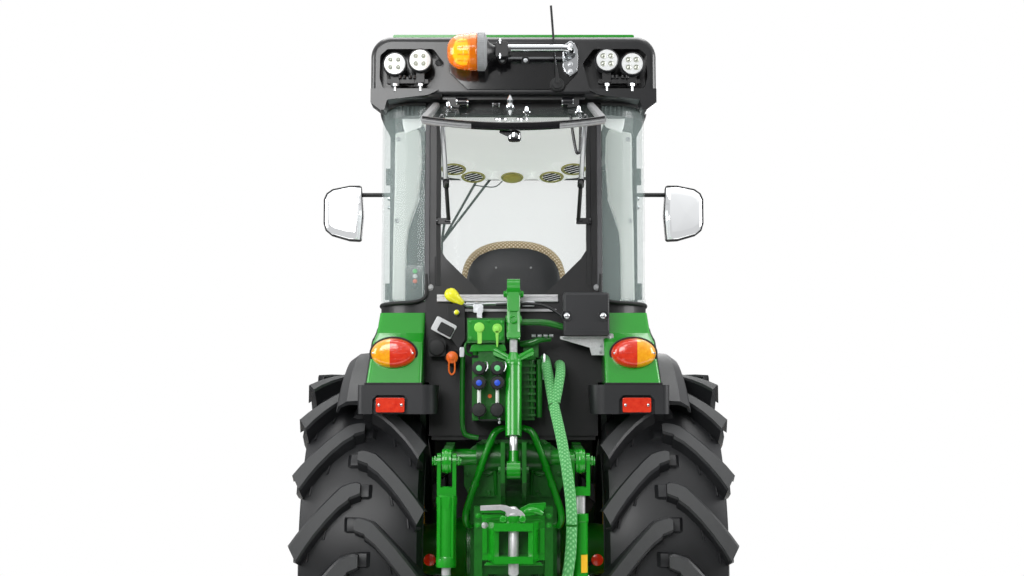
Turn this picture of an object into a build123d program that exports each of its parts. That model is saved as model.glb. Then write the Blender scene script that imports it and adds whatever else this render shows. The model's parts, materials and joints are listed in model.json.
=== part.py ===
"""Narrow farm tractor with a cab: four driven wheels, steered front axle and a rear three-point linkage.

Millimetres. +Y is forward travel, +X is the tractor's right, +Z is up, and the wheels stand on Z = 0.
Every piece is drawn with Y = 0 on the rear axle. save() moves it so that the origin is half way along.
"""

import os
from math import atan2, cos, degrees, hypot, pi, radians, sin, sqrt, tan

from build123d import *

os.makedirs("parts", exist_ok=True)

# ---------------------------------------------------------------- driving dimensions
WHEELBASE = 2180.0
FRONT_END = WHEELBASE + 785.0  # front face of the weight carrier, ahead of the rear axle
REAR_END = -1045.0  # tip of the lower links, behind the rear axle
RUN = 0.3  # running clearance of pins, hubs and hinges
SEAT = 0.3  # clearance between pieces that are fitted together

# wheels: radius to the lug tips, section width, bead seat radius and half track
REAR_TYRE = dict(radius=650.0, width=420.0, bead=356.0, lug=46.0, lugs=17, lug_bar=36.0)
FRONT_TYRE = dict(radius=476.0, width=300.0, bead=254.0, lug=34.0, lugs=16, lug_bar=27.0)
REAR_X = 511.0
FRONT_X = 575.0
REAR_DISC = -105.0  # the wheel disc, from the wheel's middle towards the tractor
FRONT_DISC = -25.0
RIM_WALL = 8.0
BEAD_SHARE = 0.715  # bead width over section width
REAR_Z = REAR_TYRE["radius"]
FRONT_Z = FRONT_TYRE["radius"]

# chassis
TRUMPET_R = 98.0
HUB_R = 92.0
STUB_R = 40.0
HUB_BACK = 26.0  # hub behind the wheel disc
AXLE_HALF = REAR_X + REAR_DISC - HUB_BACK - RUN  # end of the rear axle housing
HOUSING_HALF = 150.0
HOUSING_REAR = -330.0
HOUSING_TOP = 925.0
CLUTCH_HALF = 138.0
CLUTCH_FRONT = 1180.0
CLUTCH_TOP = 860.0
ENGINE_HALF = 140.0
ENGINE_FRONT = WHEELBASE - 230.0
RADIATOR_HALF = 225.0
RADIATOR_FOOT = 850.0  # narrower below this, where the front tyres swing in
SUPPORT_HALF = 125.0
KINGPIN_X = 470.0
BEAM_END = KINGPIN_X - 98.0
KINGPIN_R = 48.0
KNUCKLE_HALF = 105.0
YOKE_T = 26.0
PIVOT_R = 38.0

# fenders
ARCH_R = REAR_Z + 55.0
ARCH_T = 12.0
FENDER_IN = 309.3
FENDER_OUT = 498.0
EXTENSION_OUT = 605.0
HUMP_REAR = 205.0 - ARCH_R  # foot of the painted panel behind the tyre
HUMP_FOOT = ARCH_R + 545.0
BUMPER_FOOT = HUMP_FOOT - 98.0
BUMPER_REAR = HUMP_REAR - 32.0
RECESS = 18.0
FLARE_TURN = (28.0, 131.0)  # degrees up from straight ahead
LAMP_Z = HUMP_FOOT + 107.0

# cab
CAB_HALF = 480.0  # at the door posts
CAB_FRONT_HALF = 405.0  # at the front posts
CAB_REAR = -335.0
CAB_FRONT = 1120.0
DOOR_POST_Y = 150.0
POST = 42.0  # section of the posts and rails
GLASS = 6.0
FLOOR_Z = 950.0
DECK_Z = 1080.0  # raised rear floor, above the lift housing
FLOOR_T = 20.0
WAIST_Z = REAR_Z + ARCH_R + 190.0  # foot of the rear quarter glass
GUSSET_TOP = WAIST_Z + 181.0
DOOR_CLEAR = 66.0  # from the fender's arch to the door
RAIL_Z = 2250.0  # top of the roof rail
WHEEL_CENTRE = (0.0, 790.0, 1440.0)
WHEEL_AXIS = (0.0, -0.59, 0.81)
DOOR_T = 26.0
DOOR_HINGE = (CAB_HALF + 9.0, DOOR_POST_Y + 24.0)
HINGE_Z = (WAIST_Z + 55.0, 2050.0)  # foot of each door hinge
WINDOW_HALF = 276.0
WINDOW_LENGTH = 697.0
WINDOW_DROP = 16.0  # degrees below level when held open
ROOF_REAR = -420.0
ROOF_FRONT = 1330.0
ROOF_HALF = 500.0
ROOF_FRONT_HALF = 440.0
ROOF_TOP = 2480.0
ROOF_SKIN = 10.0
ROOF_EDGE = 22.0  # rounding of the rear edge
ROOF_FALL = 50.0  # the roof is lower at the front by this
ROOF_LIP = 2228.0  # lower edge of the roof's rear corners
POD_FLOOR = 2281.0  # where the rear work lamps stand
PANEL_DEPTH = 6.0

# bonnet
WALL_X = 286.0  # inner face of the cab wall beside the tyre
HOOD_REAR = 1165.0
HOOD_FRONT = WHEELBASE + 650.0
HOOD_WALL = 8.0
HOOD_HINGE = (1180.0, 1378.0)
HOOD_HINGE_R = 10.0

# linkage, as (Y, Z) of each pivot
ROCKER = (-330.0, 1000.0)
ARM_END = (-620.0, 1000.0)
LINK_PIVOT = (-170.0, 430.0)
ROD_FOOT = (-640.0, 405.0)
LINK_END = (-1010.0, 385.0)
TOP_PIN = (-600.0, 970.0)
TOP_STOWED = (-435.0, 1580.0)
LINKAGE_X = 217.5  # category 1N: 400 between the lower link balls
ARM_T = 30.0
LINK_T = 24.0
SHAFT_R = 30.0
LINK_PIN_R = 10.0
PIVOT_PIN_R = 14.0
DRIFT = 13.0  # room round the link pin in the lift rod's eye
PIN_R = 12.0
BALL_BORE = 11.2
BALL_HALF = 17.5
ROCKER_R = 52.0
TOP_BORE = 9.65
TOP_BALL_HALF = 22.0
TOP_TUBE_R = 27.0
PTO_Z = 560.0
PTO_R = 17.45
PTO_LENGTH = 90.0
SLEEVE_R = 18.0  # the woven sleeve over the lift hoses

MIDDLE_Y = (FRONT_END + REAR_END) / 2


# ---------------------------------------------------------------- small builders
def block(x, y, z):
    """A box from three (low, high) pairs."""
    centre = Pos((x[0] + x[1]) / 2, (y[0] + y[1]) / 2, (z[0] + z[1]) / 2)
    return centre * Box(x[1] - x[0], y[1] - y[0], z[1] - z[0])


def rod_x(y, z, r, x):
    return Pos((x[0] + x[1]) / 2, y, z) * Rot(0, 90, 0) * Cylinder(r, abs(x[1] - x[0]))


def rod_y(x, z, r, y):
    return Pos(x, (y[0] + y[1]) / 2, z) * Rot(90, 0, 0) * Cylinder(r, abs(y[1] - y[0]))


def rod_z(x, y, r, z):
    return Pos(x, y, (z[0] + z[1]) / 2) * Cylinder(r, abs(z[1] - z[0]))


def rod_between(a, b, r):
    """A round bar from point a to point b."""
    line = Line(a, b)
    return extrude(Plane(origin=a, z_dir=line % 0) * Circle(r), amount=line.length)


def outline(points, radius=0.0):
    line = FilletPolyline(*points, radius=radius, close=True) if radius else Polyline(*points, close=True)
    return make_face(line)


def plate_x(points, x, radius=0.0):
    """A plate whose outline is (Y, Z) points, between two X."""
    return extrude(Plane.YZ.offset(x[0]) * outline(points, radius), amount=x[1] - x[0])


def plate_y(points, y, radius=0.0):
    """A plate whose outline is (X, Z) points, between two Y."""
    face = Plane(origin=(0, y[1], 0), x_dir=(1, 0, 0), z_dir=(0, -1, 0)) * outline(points, radius)
    return extrude(face, amount=y[1] - y[0])


def plate_z(points, z, radius=0.0):
    """A plate whose outline is (X, Y) points, between two Z."""
    return extrude(Plane.XY.offset(z[0]) * outline(points, radius), amount=z[1] - z[0])


def tube(points, r, bend):
    """A round bar swept along straight runs joined by tangent arcs."""
    path = FilletPolyline(*points, radius=bend)
    return sweep(Plane(origin=path @ 0, z_dir=path % 0) * Circle(r), path=path)


def arch(r, turn, x, y=0.0, z=REAR_Z):
    """A sector of a ring about the X axis through (y, z): radii r, turn in degrees from +Y, between two X."""
    outer = CenterArc((y, z), r[1], turn[0], turn[1] - turn[0])
    inner = CenterArc((y, z), r[0], turn[0], turn[1] - turn[0])
    sides = Line(inner @ 0, outer @ 0) + Line(inner @ 1, outer @ 1)
    return extrude(Plane.YZ.offset(x[0]) * make_face(outer + inner + sides), amount=x[1] - x[0])


def both(*shapes):
    """The pieces and their mirror images across the tractor's middle."""
    return [*shapes, *(mirror(s, about=Plane.YZ) for s in shapes)]


def save(node, *shapes):
    solids = [s for shape in shapes for s in shape.solids()]
    export_step(Pos(0, -MIDDLE_Y, 0) * Compound(solids), f"parts/{node}.step")


# ---------------------------------------------------------------- wheels
def tyre(radius, width, bead, lug, lugs, lug_bar):
    """A cleated tyre about the X axis: one facet for each pitch, and bent bars whose noses lead at the top."""
    half = width / 2
    crown = radius - lug
    bead_half = BEAD_SHARE * half
    pocket = bead + 30  # the rim's flange stands inside this
    widest = (0.985 * half, bead + 0.56 * (crown - bead))  # from the middle, radius
    shoulder = (0.80 * half, crown)
    stations = [(-s, r) for s, r in (widest, shoulder)] + [shoulder, widest]

    def ring(s, r):
        """A section with its flats at radius r."""
        plane = Plane(origin=(s, 0, 0), x_dir=(0, 1, 0), z_dir=(1, 0, 0))
        return plane * RegularPolygon(r / cos(pi / lugs), lugs)

    body = loft([ring(s, r) for s, r in stations], ruled=True)
    body -= loft([ring(-half, bead), ring(half, bead)], ruled=True)
    for side in (-1, 1):
        body -= loft([ring(side * half, widest[1] - 6), ring(side * bead_half, pocket)], ruled=True)
        body -= loft([ring(side * bead_half, pocket), ring(side * half, pocket)], ruled=True)
    # one bar: nose at the middle, ahead; foot at the shoulder, behind
    reach = widest[0]
    lead = 0.12 * radius
    fall = 0.92 * reach
    foot = 1.25 * lug_bar
    bar = [  # (across, along)
        (-0.05 * half, lead - 1.1 * lug_bar),
        (0.16 * half, lead - 1.5 * lug_bar),
        (reach, lead - fall - foot),
        (reach, lead - fall),
        (0.16 * half, lead),
        (-0.05 * half, lead - 0.1 * lug_bar),
    ]
    middle = lead - (fall + foot) / 2
    tip = sqrt(radius**2 - (lead - middle) ** 2)
    root = crown - 14
    bars = []
    for k in range(2 * lugs):
        side = 1 if k % 2 else -1
        face = Plane.XY.offset(root) * outline([(side * s, t - middle) for s, t in bar])
        bars.append(Rot(k * 180 / lugs, 0, 0) * extrude(face, amount=tip - root, dir=(0, 0, 1)))
    # turned so that the tip of one bar is straight below the axle
    return Rot(degrees(atan2(lead - middle, tip)), 0, 0) * body.fuse(*bars)


def rim(radius, width, bead, disc, hub_r, bore):
    """A wheel rim about the X axis with its dished disc; the disc's hub face is at X = disc."""
    half = BEAD_SHARE * width / 2
    seat = bead - SEAT
    well = seat - 30
    flange = bead + 22
    outer = [
        (-half - 9, flange), (-half - SEAT, flange), (-half - SEAT, seat), (-0.72 * half, seat),
        (-0.6 * half, well), (0.6 * half, well), (0.72 * half, seat), (half + SEAT, seat),
        (half + SEAT, flange), (half + 9, flange),
    ]
    inner = [
        (half + 9, seat - RIM_WALL), (0.70 * half, seat - RIM_WALL), (0.58 * half, well - RIM_WALL),
        (-0.58 * half, well - RIM_WALL), (-0.70 * half, seat - RIM_WALL), (-half - 9, seat - RIM_WALL),
    ]
    barrel = revolve(outline(outer + inner), Axis.X)
    # disc from the well down a cone to the flat hub face
    edge = disc + 0.3 * half
    thick = RIM_WALL + 2
    web = [
        (edge, well - 2), (edge, well - 30), (disc, 0.60 * well), (disc, bore),
        (disc + thick, bore), (disc + thick, 0.60 * well - 4), (edge + thick, well - 34),
        (edge + thick, well - 2),
    ]
    disc_body = revolve(outline(web), Axis.X)
    hub = [(disc - HUB_BACK, bore), (disc - HUB_BACK, hub_r), (disc + 34, hub_r), (disc + 34, bore)]
    return barrel + disc_body + revolve(outline(hub), Axis.X)


def hand_holes(shape, disc, at, r, count):
    """Round openings through a wheel disc."""
    for k in range(count):
        a = 2 * pi * k / count
        shape -= rod_x(at * cos(a), at * sin(a), r, (disc - 60, disc + 90))
    return shape


def wheels():
    rear_body = tyre(**REAR_TYRE)
    front_body = tyre(**FRONT_TYRE)
    rear_rim = rim(REAR_TYRE["radius"], REAR_TYRE["width"], REAR_TYRE["bead"], REAR_DISC, HUB_R, STUB_R + RUN)
    front_rim = rim(FRONT_TYRE["radius"], FRONT_TYRE["width"], FRONT_TYRE["bead"], FRONT_DISC, 70.0, 34.0 + RUN)
    rear_rim = hand_holes(rear_rim, REAR_DISC, 215.0, 26.0, 8)
    for name, side in (("right", 1), ("left", -1)):
        for end, tyre_body, rim_body, x, y, z in (
            ("rear", rear_body, rear_rim, REAR_X, 0.0, REAR_Z),
            ("front", front_body, front_rim, FRONT_X, WHEELBASE, FRONT_Z),
        ):
            place = Pos(side * x, y, z)
            save(f"{end}_tyre_{name}", place * (tyre_body if side > 0 else mirror(tyre_body, about=Plane.YZ)))
            save(f"{end}_rim_{name}", place * (rim_body if side > 0 else mirror(rim_body, about=Plane.YZ)))


# ---------------------------------------------------------------- chassis
def transmission():
    """Rear centre housing, clutch housing, lift cover and the two axle trumpets with their stub shafts."""
    centre = plate_x([(HOUSING_REAR, 400), (HOUSING_REAR, HOUSING_TOP), (260, HOUSING_TOP), (420, CLUTCH_TOP),
                      (420, 470), (300, 380), (-260, 380)], (-HOUSING_HALF, HOUSING_HALF))
    centre = chamfer(centre.edges().filter_by(Axis.Y), 22)
    clutch = plate_x([(400, 470), (400, CLUTCH_TOP), (CLUTCH_FRONT, CLUTCH_TOP), (CLUTCH_FRONT, 500)],
                     (-CLUTCH_HALF, CLUTCH_HALF))
    flange = block((-CLUTCH_HALF - 14, CLUTCH_HALF + 14), (CLUTCH_FRONT - 26, CLUTCH_FRONT),
                   (500, CLUTCH_TOP + 20))
    tunnel = rod_y(0, FRONT_Z - 32, 34, (410, WHEELBASE - 180))
    tunnel += block((-60, 60), (380, 440), (FRONT_Z - 66, FRONT_Z + 4))
    body = centre + clutch + flange + tunnel
    body += block((-120, 120), (-300, 120), (HOUSING_TOP, HOUSING_TOP + 85))
    trumpet = [(HOUSING_HALF - 5, 0), (HOUSING_HALF - 5, 150), (HOUSING_HALF + 18, 150),
               (HOUSING_HALF + 22, 128),
               (250, TRUMPET_R), (AXLE_HALF - 30, TRUMPET_R - 8), (AXLE_HALF - 30, HUB_R + 8),
               (AXLE_HALF, HUB_R + 8),
               (AXLE_HALF, STUB_R), (AXLE_HALF + 62, STUB_R), (AXLE_HALF + 62, 0)]
    for side in both(Pos(0, 0, REAR_Z) * revolve(outline(trumpet), Axis.X)):
        body += side
    # bosses that carry the rocker shaft and the lower link pins
    body += rod_x(ROCKER[0], ROCKER[1], ROCKER_R, (-128, 128))
    body += block((-128, 128), (ROCKER[0], -200), (HOUSING_TOP - 5, ROCKER[1]))
    body -= rod_x(*ROCKER, SHAFT_R + RUN, (-200, 200))
    for side in both(rod_x(LINK_PIVOT[0], LINK_PIVOT[1], 34, (120, LINKAGE_X - LINK_T / 2 - RUN))
                     + rod_x(LINK_PIVOT[0], LINK_PIVOT[1], PIVOT_PIN_R, (120, LINKAGE_X + LINK_T / 2 + 8))):
        body += side
    body += rod_y(0, PTO_Z, 75, (HOUSING_REAR - 30, HOUSING_REAR + 10))
    save("transmission", body)
    shaft = rod_y(0, PTO_Z, PTO_R, (HOUSING_REAR - 30 - PTO_LENGTH, HOUSING_REAR - 30))
    save("pto_shaft", shaft)


def engine():
    y0, y1 = CLUTCH_FRONT, ENGINE_FRONT
    body = block((-ENGINE_HALF, ENGINE_HALF), (y0, y1), (620, 1050))
    body += plate_y([(-140, 480), (140, 480), (ENGINE_HALF, 620), (-ENGINE_HALF, 620)], (y0 + 40, y1 - 60))
    body += block((-125, 125), (y0 + 30, y1 - 60), (1050, 1170))
    body += block((-85, 85), (y0 + 50, y1 - 90), (1170, 1225))
    body += rod_y(0, 760, 80, (y1, y1 + 25)) + rod_y(0, 980, 55, (y1, y1 + 25))
    core = (WHEELBASE + 240, WHEELBASE + 340)
    radiator = block((-RADIATOR_HALF, RADIATOR_HALF), core, (RADIATOR_FOOT, 1150))
    radiator += block((-SUPPORT_HALF, SUPPORT_HALF), core, (700.3, RADIATOR_FOOT))
    save("engine", body, radiator)


def front_support():
    """Cast carrier bolted to the engine: side rails, axle pivot brackets and the weight carrier at the nose."""
    y0, y1 = ENGINE_FRONT, FRONT_END
    outer = SUPPORT_HALF
    body = block((-outer, outer), (y0, y1 - 90), (590, 700))
    body += block((-outer, outer), (y0, y0 + 50), (520, 1000))
    body -= rod_y(0, 760, 82, (y0 - 5, y0 + 70)) + rod_y(0, 980, 57, (y0 - 5, y0 + 70))
    for y in ((WHEELBASE - 112, WHEELBASE - 66), (WHEELBASE + 66, WHEELBASE + 112)):
        bracket = block((-outer, outer), y, (FRONT_Z, 600)) + rod_y(0, FRONT_Z, 78, y)
        body += bracket - rod_y(0, FRONT_Z, PIVOT_R + RUN, (y[0] - 5, y[1] + 5))
    carrier = block((-150, 150), (y1 - 110, y1), (520, 690))
    carrier -= rod_z(0, y1 - 45, 16, (500, 700))
    for x in (-100, 100):
        for z in (560, 650):
            carrier -= rod_y(x, z, 9, (y1 - 60, y1 + 5))
    body += carrier
    save("front_support", body)


def front_axle():
    """Driven front axle: beam with its differential, pivot pins, kingpin yokes and steering cylinder."""
    y, z = WHEELBASE, FRONT_Z
    beam = block((-BEAM_END + 20, BEAM_END - 20), (y - 52, y + 52), (z - 52, z + 52))
    beam = chamfer(beam.edges().filter_by(Axis.X), 16)
    beam += rod_x(y, z, 61, (-110, 110)) + rod_y(0, z, PIVOT_R, (y - 112, y + 112))
    ends = block((BEAM_END - 37, BEAM_END), (y - KINGPIN_R, y + KINGPIN_R),
                 (z - KNUCKLE_HALF - YOKE_T, z + KNUCKLE_HALF + YOKE_T))
    for low, high in ((KNUCKLE_HALF + RUN, KNUCKLE_HALF + YOKE_T),
                      (-KNUCKLE_HALF - YOKE_T, -KNUCKLE_HALF - RUN)):
        ends += block((BEAM_END - 20, KINGPIN_X), (y - KINGPIN_R, y + KINGPIN_R), (z + low, z + high))
        ends += rod_z(KINGPIN_X, y, KINGPIN_R, (z + low, z + high))
    for side in both(ends, block((150, 175), (y - 150, y - 40), (z - 5, z + 40))):
        beam += side
    beam += rod_x(y - 145, z + 20, 24, (-190, 190))
    save("front_axle", beam)


def knuckles():
    y, z = WHEELBASE, FRONT_Z
    hub_face = FRONT_X + FRONT_DISC - HUB_BACK
    body = rod_z(KINGPIN_X, y, KINGPIN_R - 3, (z - KNUCKLE_HALF, z + KNUCKLE_HALF))
    body += rod_x(y, z, 66, (KINGPIN_X, hub_face - RUN)) + rod_x(y, z, 34, (hub_face - RUN, hub_face + 70))
    body += plate_z([(KINGPIN_X + 30, y), (KINGPIN_X - 30, y), (KINGPIN_X - 42, y - 165),
                     (KINGPIN_X - 8, y - 165)],
                    (z - 88, z - 64))
    save("knuckle_right", body)
    save("knuckle_left", mirror(body, about=Plane.YZ))


def side_boxes():
    """Fuel tank on the left and battery box on the right, each on two arms from the clutch housing."""
    tank = fillet(block((-455, -190), (1010, 1560), (400, 815)).edges(), 34)
    box = fillet(block((190, 440), (1010, 1400), (450, 760)).edges().filter_by(Axis.Z), 20)
    for y in (1030, 1110):
        tank += block((-230, -CLUTCH_HALF), (y, y + 20), (560, 700))
        box += block((CLUTCH_HALF, 200), (y, y + 20), (560, 700))
    save("side_boxes", tank, box)
    pipe = tube([(ENGINE_HALF, 1480, 900), (235, 1480, 900), (235, 1480, 540), (320, 1480, 455)], 30, 55)
    save("exhaust", pipe)
    stair_x = (CAB_FRONT_HALF - 19, CAB_FRONT_HALF + 95)
    head = FLOOR_Z - FLOOR_T
    stair = block((CAB_FRONT_HALF - 35, stair_x[1]), (735, 985), (head - 20, head))
    for y in (735, 975):
        stair += block(stair_x, (y, y + 10), (340, head - 20))
    for z in (345, 620):
        stair += block(stair_x, (740, 980), (z, z + 22))
    save("steps", *both(stair))


# ---------------------------------------------------------------- cab
def cab_plan(inset):
    """The cab's plan outline, set in from the outer skin."""
    h, f, r, n = CAB_HALF - inset, CAB_FRONT_HALF - inset, CAB_REAR + inset, CAB_FRONT - inset
    right = [(h, -150), (h, DOOR_POST_Y + 40), (f, n)]
    arc = ThreePointArc((307 - inset * 0.4, r), (h - 52, r + 52 + inset * 0.1), (h, -150))
    lines = Line((0, r), (307 - inset * 0.4, r)) + arc + Polyline(*right) + Line((f, n), (0, n))
    half = make_face(lines + Line((0, n), (0, r)))
    return half + mirror(half, about=Plane.YZ)


def cab_frame():
    """Welded cab frame: roof rail, waist rail, posts, sills, the rear opening's gussets and the lower rear wall."""
    rail = extrude(Plane.XY.offset(RAIL_Z - POST) * (cab_plan(GLASS) - cab_plan(POST + GLASS)), amount=POST)
    waist = extrude(Plane.XY.offset(WAIST_Z - POST) * (cab_plan(0) - cab_plan(POST)), amount=POST)
    waist &= block((-600, 600), (-400, DOOR_POST_Y + 22), (0, 3000))
    frame = rail + waist
    low = FLOOR_Z
    posts = [
        block((257, 305), (CAB_REAR, CAB_REAR + POST), (WAIST_Z - POST, RAIL_Z)),
        block((CAB_HALF - POST, CAB_HALF - 2), (DOOR_POST_Y - POST / 2, DOOR_POST_Y + 22),
              (WAIST_Z - 200, RAIL_Z)),
        block((CAB_FRONT_HALF - POST, CAB_FRONT_HALF), (CAB_FRONT - POST, CAB_FRONT), (low, RAIL_Z)),
        plate_y([(305, WAIST_Z), (160, WAIST_Z), (160, WAIST_Z + 30), (257, GUSSET_TOP), (305, GUSSET_TOP)],
                (CAB_REAR, CAB_REAR + 14)),
        block((WALL_X, WALL_X + 8), (CAB_REAR, 420), (DECK_Z, WAIST_Z - POST)),
        block((80, 100), (CAB_FRONT - 10, HOOD_HINGE[0]), (HOOD_HINGE[1] - 26, HOOD_HINGE[1] - 2)),
    ]
    for piece in posts:
        for side in both(piece - rod_x(0, REAR_Z, ARCH_R + ARCH_T + SEAT, (400, 500))):
            frame += side
    frame += block((-FENDER_IN + SEAT, FENDER_IN - SEAT), (CAB_REAR, CAB_REAR + 12),
                   (HUMP_FOOT + 10, WAIST_Z - POST))
    frame += block((-WALL_X - 8, WALL_X + 8), (CAB_REAR, CAB_REAR + 12), (1075, HUMP_FOOT + 10))
    frame += rod_x(HOOD_HINGE[0], HOOD_HINGE[1], HOOD_HINGE_R, (-140, 140))
    for z in HINGE_Z:
        lug = rod_z(*DOOR_HINGE, PIN_R / 2, (z - 14, z + 50))
        lug += block((CAB_HALF - 6, DOOR_HINGE[0] + 8), (DOOR_POST_Y, DOOR_HINGE[1] + 8), (z - 14, z - RUN))
        for side in both(lug):
            frame += side
    frame += block((-CAB_FRONT_HALF, CAB_FRONT_HALF), (CAB_FRONT - 30, CAB_FRONT), (1366, 1420))
    save("cab_frame", frame)


def cab_floor():
    """Pressed floor with its raised rear deck, front wall and rubber mounts."""
    front = CAB_FRONT_HALF - 25
    floor = block((-front, front), (670, CAB_FRONT - 42), (FLOOR_Z - FLOOR_T, FLOOR_Z))
    floor += block((-WALL_X, WALL_X), (400, 670), (FLOOR_Z - FLOOR_T, FLOOR_Z))
    riser = block((-WALL_X, WALL_X), (400, 420), (FLOOR_Z - FLOOR_T, DECK_Z))
    deck = block((-WALL_X, WALL_X), (CAB_REAR + 12, 400), (DECK_Z - FLOOR_T, DECK_Z))
    wall = block((-front + 20, front - 20), (CAB_FRONT - 42, CAB_FRONT - 30), (FLOOR_Z - FLOOR_T, 1366))
    body = floor + riser + deck + wall
    for x in (-90, 90):
        body += rod_z(x, 1060, 30, (CLUTCH_TOP, FLOOR_Z - 5))
        body += rod_z(x, 200, 30, (HOUSING_TOP, DECK_Z - 5))
    save("cab_floor", body)


def cab_inside():
    """Dashboard with its column, seat base and side console; steering wheel; driver's cushions."""
    dash = plate_x([(1078, FLOOR_Z), (1078, 1366), (900, 1400), (850, 1330), (960, 1150), (960, FLOOR_Z)],
                   (-170, 170))
    column = rod_between((0, 900, 1290), WHEEL_CENTRE, 20)
    pan = DECK_Z + 120
    base = block((-150, 150), (120, 399), (DECK_Z, pan)) + block((-200, 200), (50, 560), (pan, pan + 25))
    base += block((-120, 120), (50, 70 - SEAT), (pan, pan + 500))
    console = block((240, WALL_X - SEAT), (150, 399), (DECK_Z, DECK_Z + 240))
    turned = Plane(origin=WHEEL_CENTRE, z_dir=WHEEL_AXIS)
    column -= turned * Pos(0, 0, 250) * Box(900, 900, 500)
    save("cab_fittings", dash + column, base, console)
    wheel = Torus(178, 14) + Pos(0, 0, 8 + RUN) * Cylinder(45, 16)
    for k in range(3):
        wheel += Rot(0, 0, 90 + 120 * k) * Pos(95, 0, 8 + RUN) * Box(170, 26, 10)
    save("steering_wheel", turned * wheel)
    cushion = fillet(block((-225, 225), (150, 610), (pan + 25 + SEAT, pan + 130)).edges(), 30)
    shell = [(-215, pan + 135), (215, pan + 135), (190, pan + 500), (150, pan + 615), (-150, pan + 615),
             (-190, pan + 500)]
    back = plate_y(shell, (70, 149), 60)
    save("seat_cushions", cushion, back)


def roof():
    """Moulded roof body with lamp recesses, its painted skin, and the headliner inside."""
    def section(y, half, low, top, foot, shoulder):
        """A box across the roof, its lower corners rounded by foot and its upper ones by shoulder."""
        plane = Plane(origin=(0, y, 0), x_dir=(1, 0, 0), z_dir=(0, -1, 0))
        face = plane * outline([(-half, low), (half, low), (half, top), (-half, top)])
        ends = face.vertices().sort_by(Axis.Z)
        face = fillet(ends[:2], foot)
        return fillet(face.vertices().group_by(Axis.Z)[-1], shoulder)

    def seam(y):
        return ROOF_TOP - ROOF_SKIN - ROOF_FALL * (y - ROOF_REAR) / (ROOF_FRONT - ROOF_REAR)

    body = loft([section(ROOF_REAR, ROOF_HALF, RAIL_Z, seam(ROOF_REAR), ROOF_EDGE + 4, 72),
                 section(ROOF_FRONT, ROOF_FRONT_HALF, RAIL_Z, seam(ROOF_FRONT), ROOF_EDGE + 4, 60)], ruled=True)
    rear_edges = body.faces().sort_by(Axis.Y)[0].edges()
    body = fillet(rear_edges.filter_by(lambda e: e.center().Z > RAIL_Z + 60), ROOF_EDGE)
    body -= block((-250, 250), (ROOF_REAR - 1, ROOF_REAR + 30), (RAIL_Z - 1, RAIL_Z + 13))
    horn = [(262, POD_FLOOR - 6), (300, RAIL_Z + 8), (440, RAIL_Z - 8), (450, ROOF_LIP - 22),
            (464, ROOF_LIP - 22),
            (ROOF_HALF - 2, ROOF_LIP + 4), (ROOF_HALF - 2, POD_FLOOR), (262, POD_FLOOR)]
    for side in both(plate_y(horn, (ROOF_REAR - 8, CAB_REAR - 6), 3)):
        body += side
    pod = [(266, POD_FLOOR), (456, POD_FLOOR), (468, POD_FLOOR + 40), (466, POD_FLOOR + 120),
           (440, POD_FLOOR + 142),
           (280, POD_FLOOR + 142), (242, POD_FLOOR + 91)]
    for side in both(plate_y(pod, (ROOF_REAR - 9, ROOF_REAR + 70), 16)):
        body -= side
    low = RAIL_Z + 24
    panel = [(-166, low), (175, low), (228, low + 62), (228, low + 166), (-228, low + 166), (-228, low + 62)]
    body -= plate_y(panel, (ROOF_REAR - 1, ROOF_REAR + PANEL_DEPTH), 12)
    save("roof_base", body)
    rear, front = ROOF_REAR + ROOF_EDGE, ROOF_FRONT - 20
    cap = loft([section(rear, ROOF_HALF - 76, seam(rear), seam(rear) + ROOF_SKIN, 2, 6),
                section(front, ROOF_FRONT_HALF - 64, seam(front), seam(front) + ROOF_SKIN, 2, 6)], ruled=True)
    save("roof_top", cap)
    liner = [(-250, RAIL_Z), (-250, RAIL_Z - 14), (700, RAIL_Z - 14), (860, RAIL_Z - 24), (1060, RAIL_Z - 28),
             (1060, RAIL_Z)]
    liner = plate_x(liner, (-340, 340))
    save("headliner", liner)


def lamps():
    rear = []
    for x, z in ((413, POD_FLOOR + 83), (325, POD_FLOOR + 96)):
        lamp = rod_y(x, z, 40, (ROOF_REAR - 25, ROOF_REAR + 20)) + rod_z(x, ROOF_REAR + 5, 8, (POD_FLOOR, z))
        rear.append(lamp)
    front = [rod_y(x, 2350, 40, (ROOF_FRONT, ROOF_FRONT + 35)) for x in (250, 350)]
    save("work_lamps", *both(*rear, *front))
    oval = Plane(origin=(408, HUMP_REAR + 8, LAMP_Z), x_dir=(1, 0, 0), z_dir=(0, -1, 0)) * Ellipse(75, 50)
    tail = extrude(oval, amount=-80)
    tail = fillet(tail.edges().sort_by(Axis.Y)[0], 22) - fender_hump(1)
    marker = block((365, 460), (BUMPER_REAR + 2, BUMPER_REAR + RECESS - SEAT),
                   (BUMPER_FOOT + 6, BUMPER_FOOT + 54))
    save("tail_lamps", *both(tail, marker))


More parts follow.
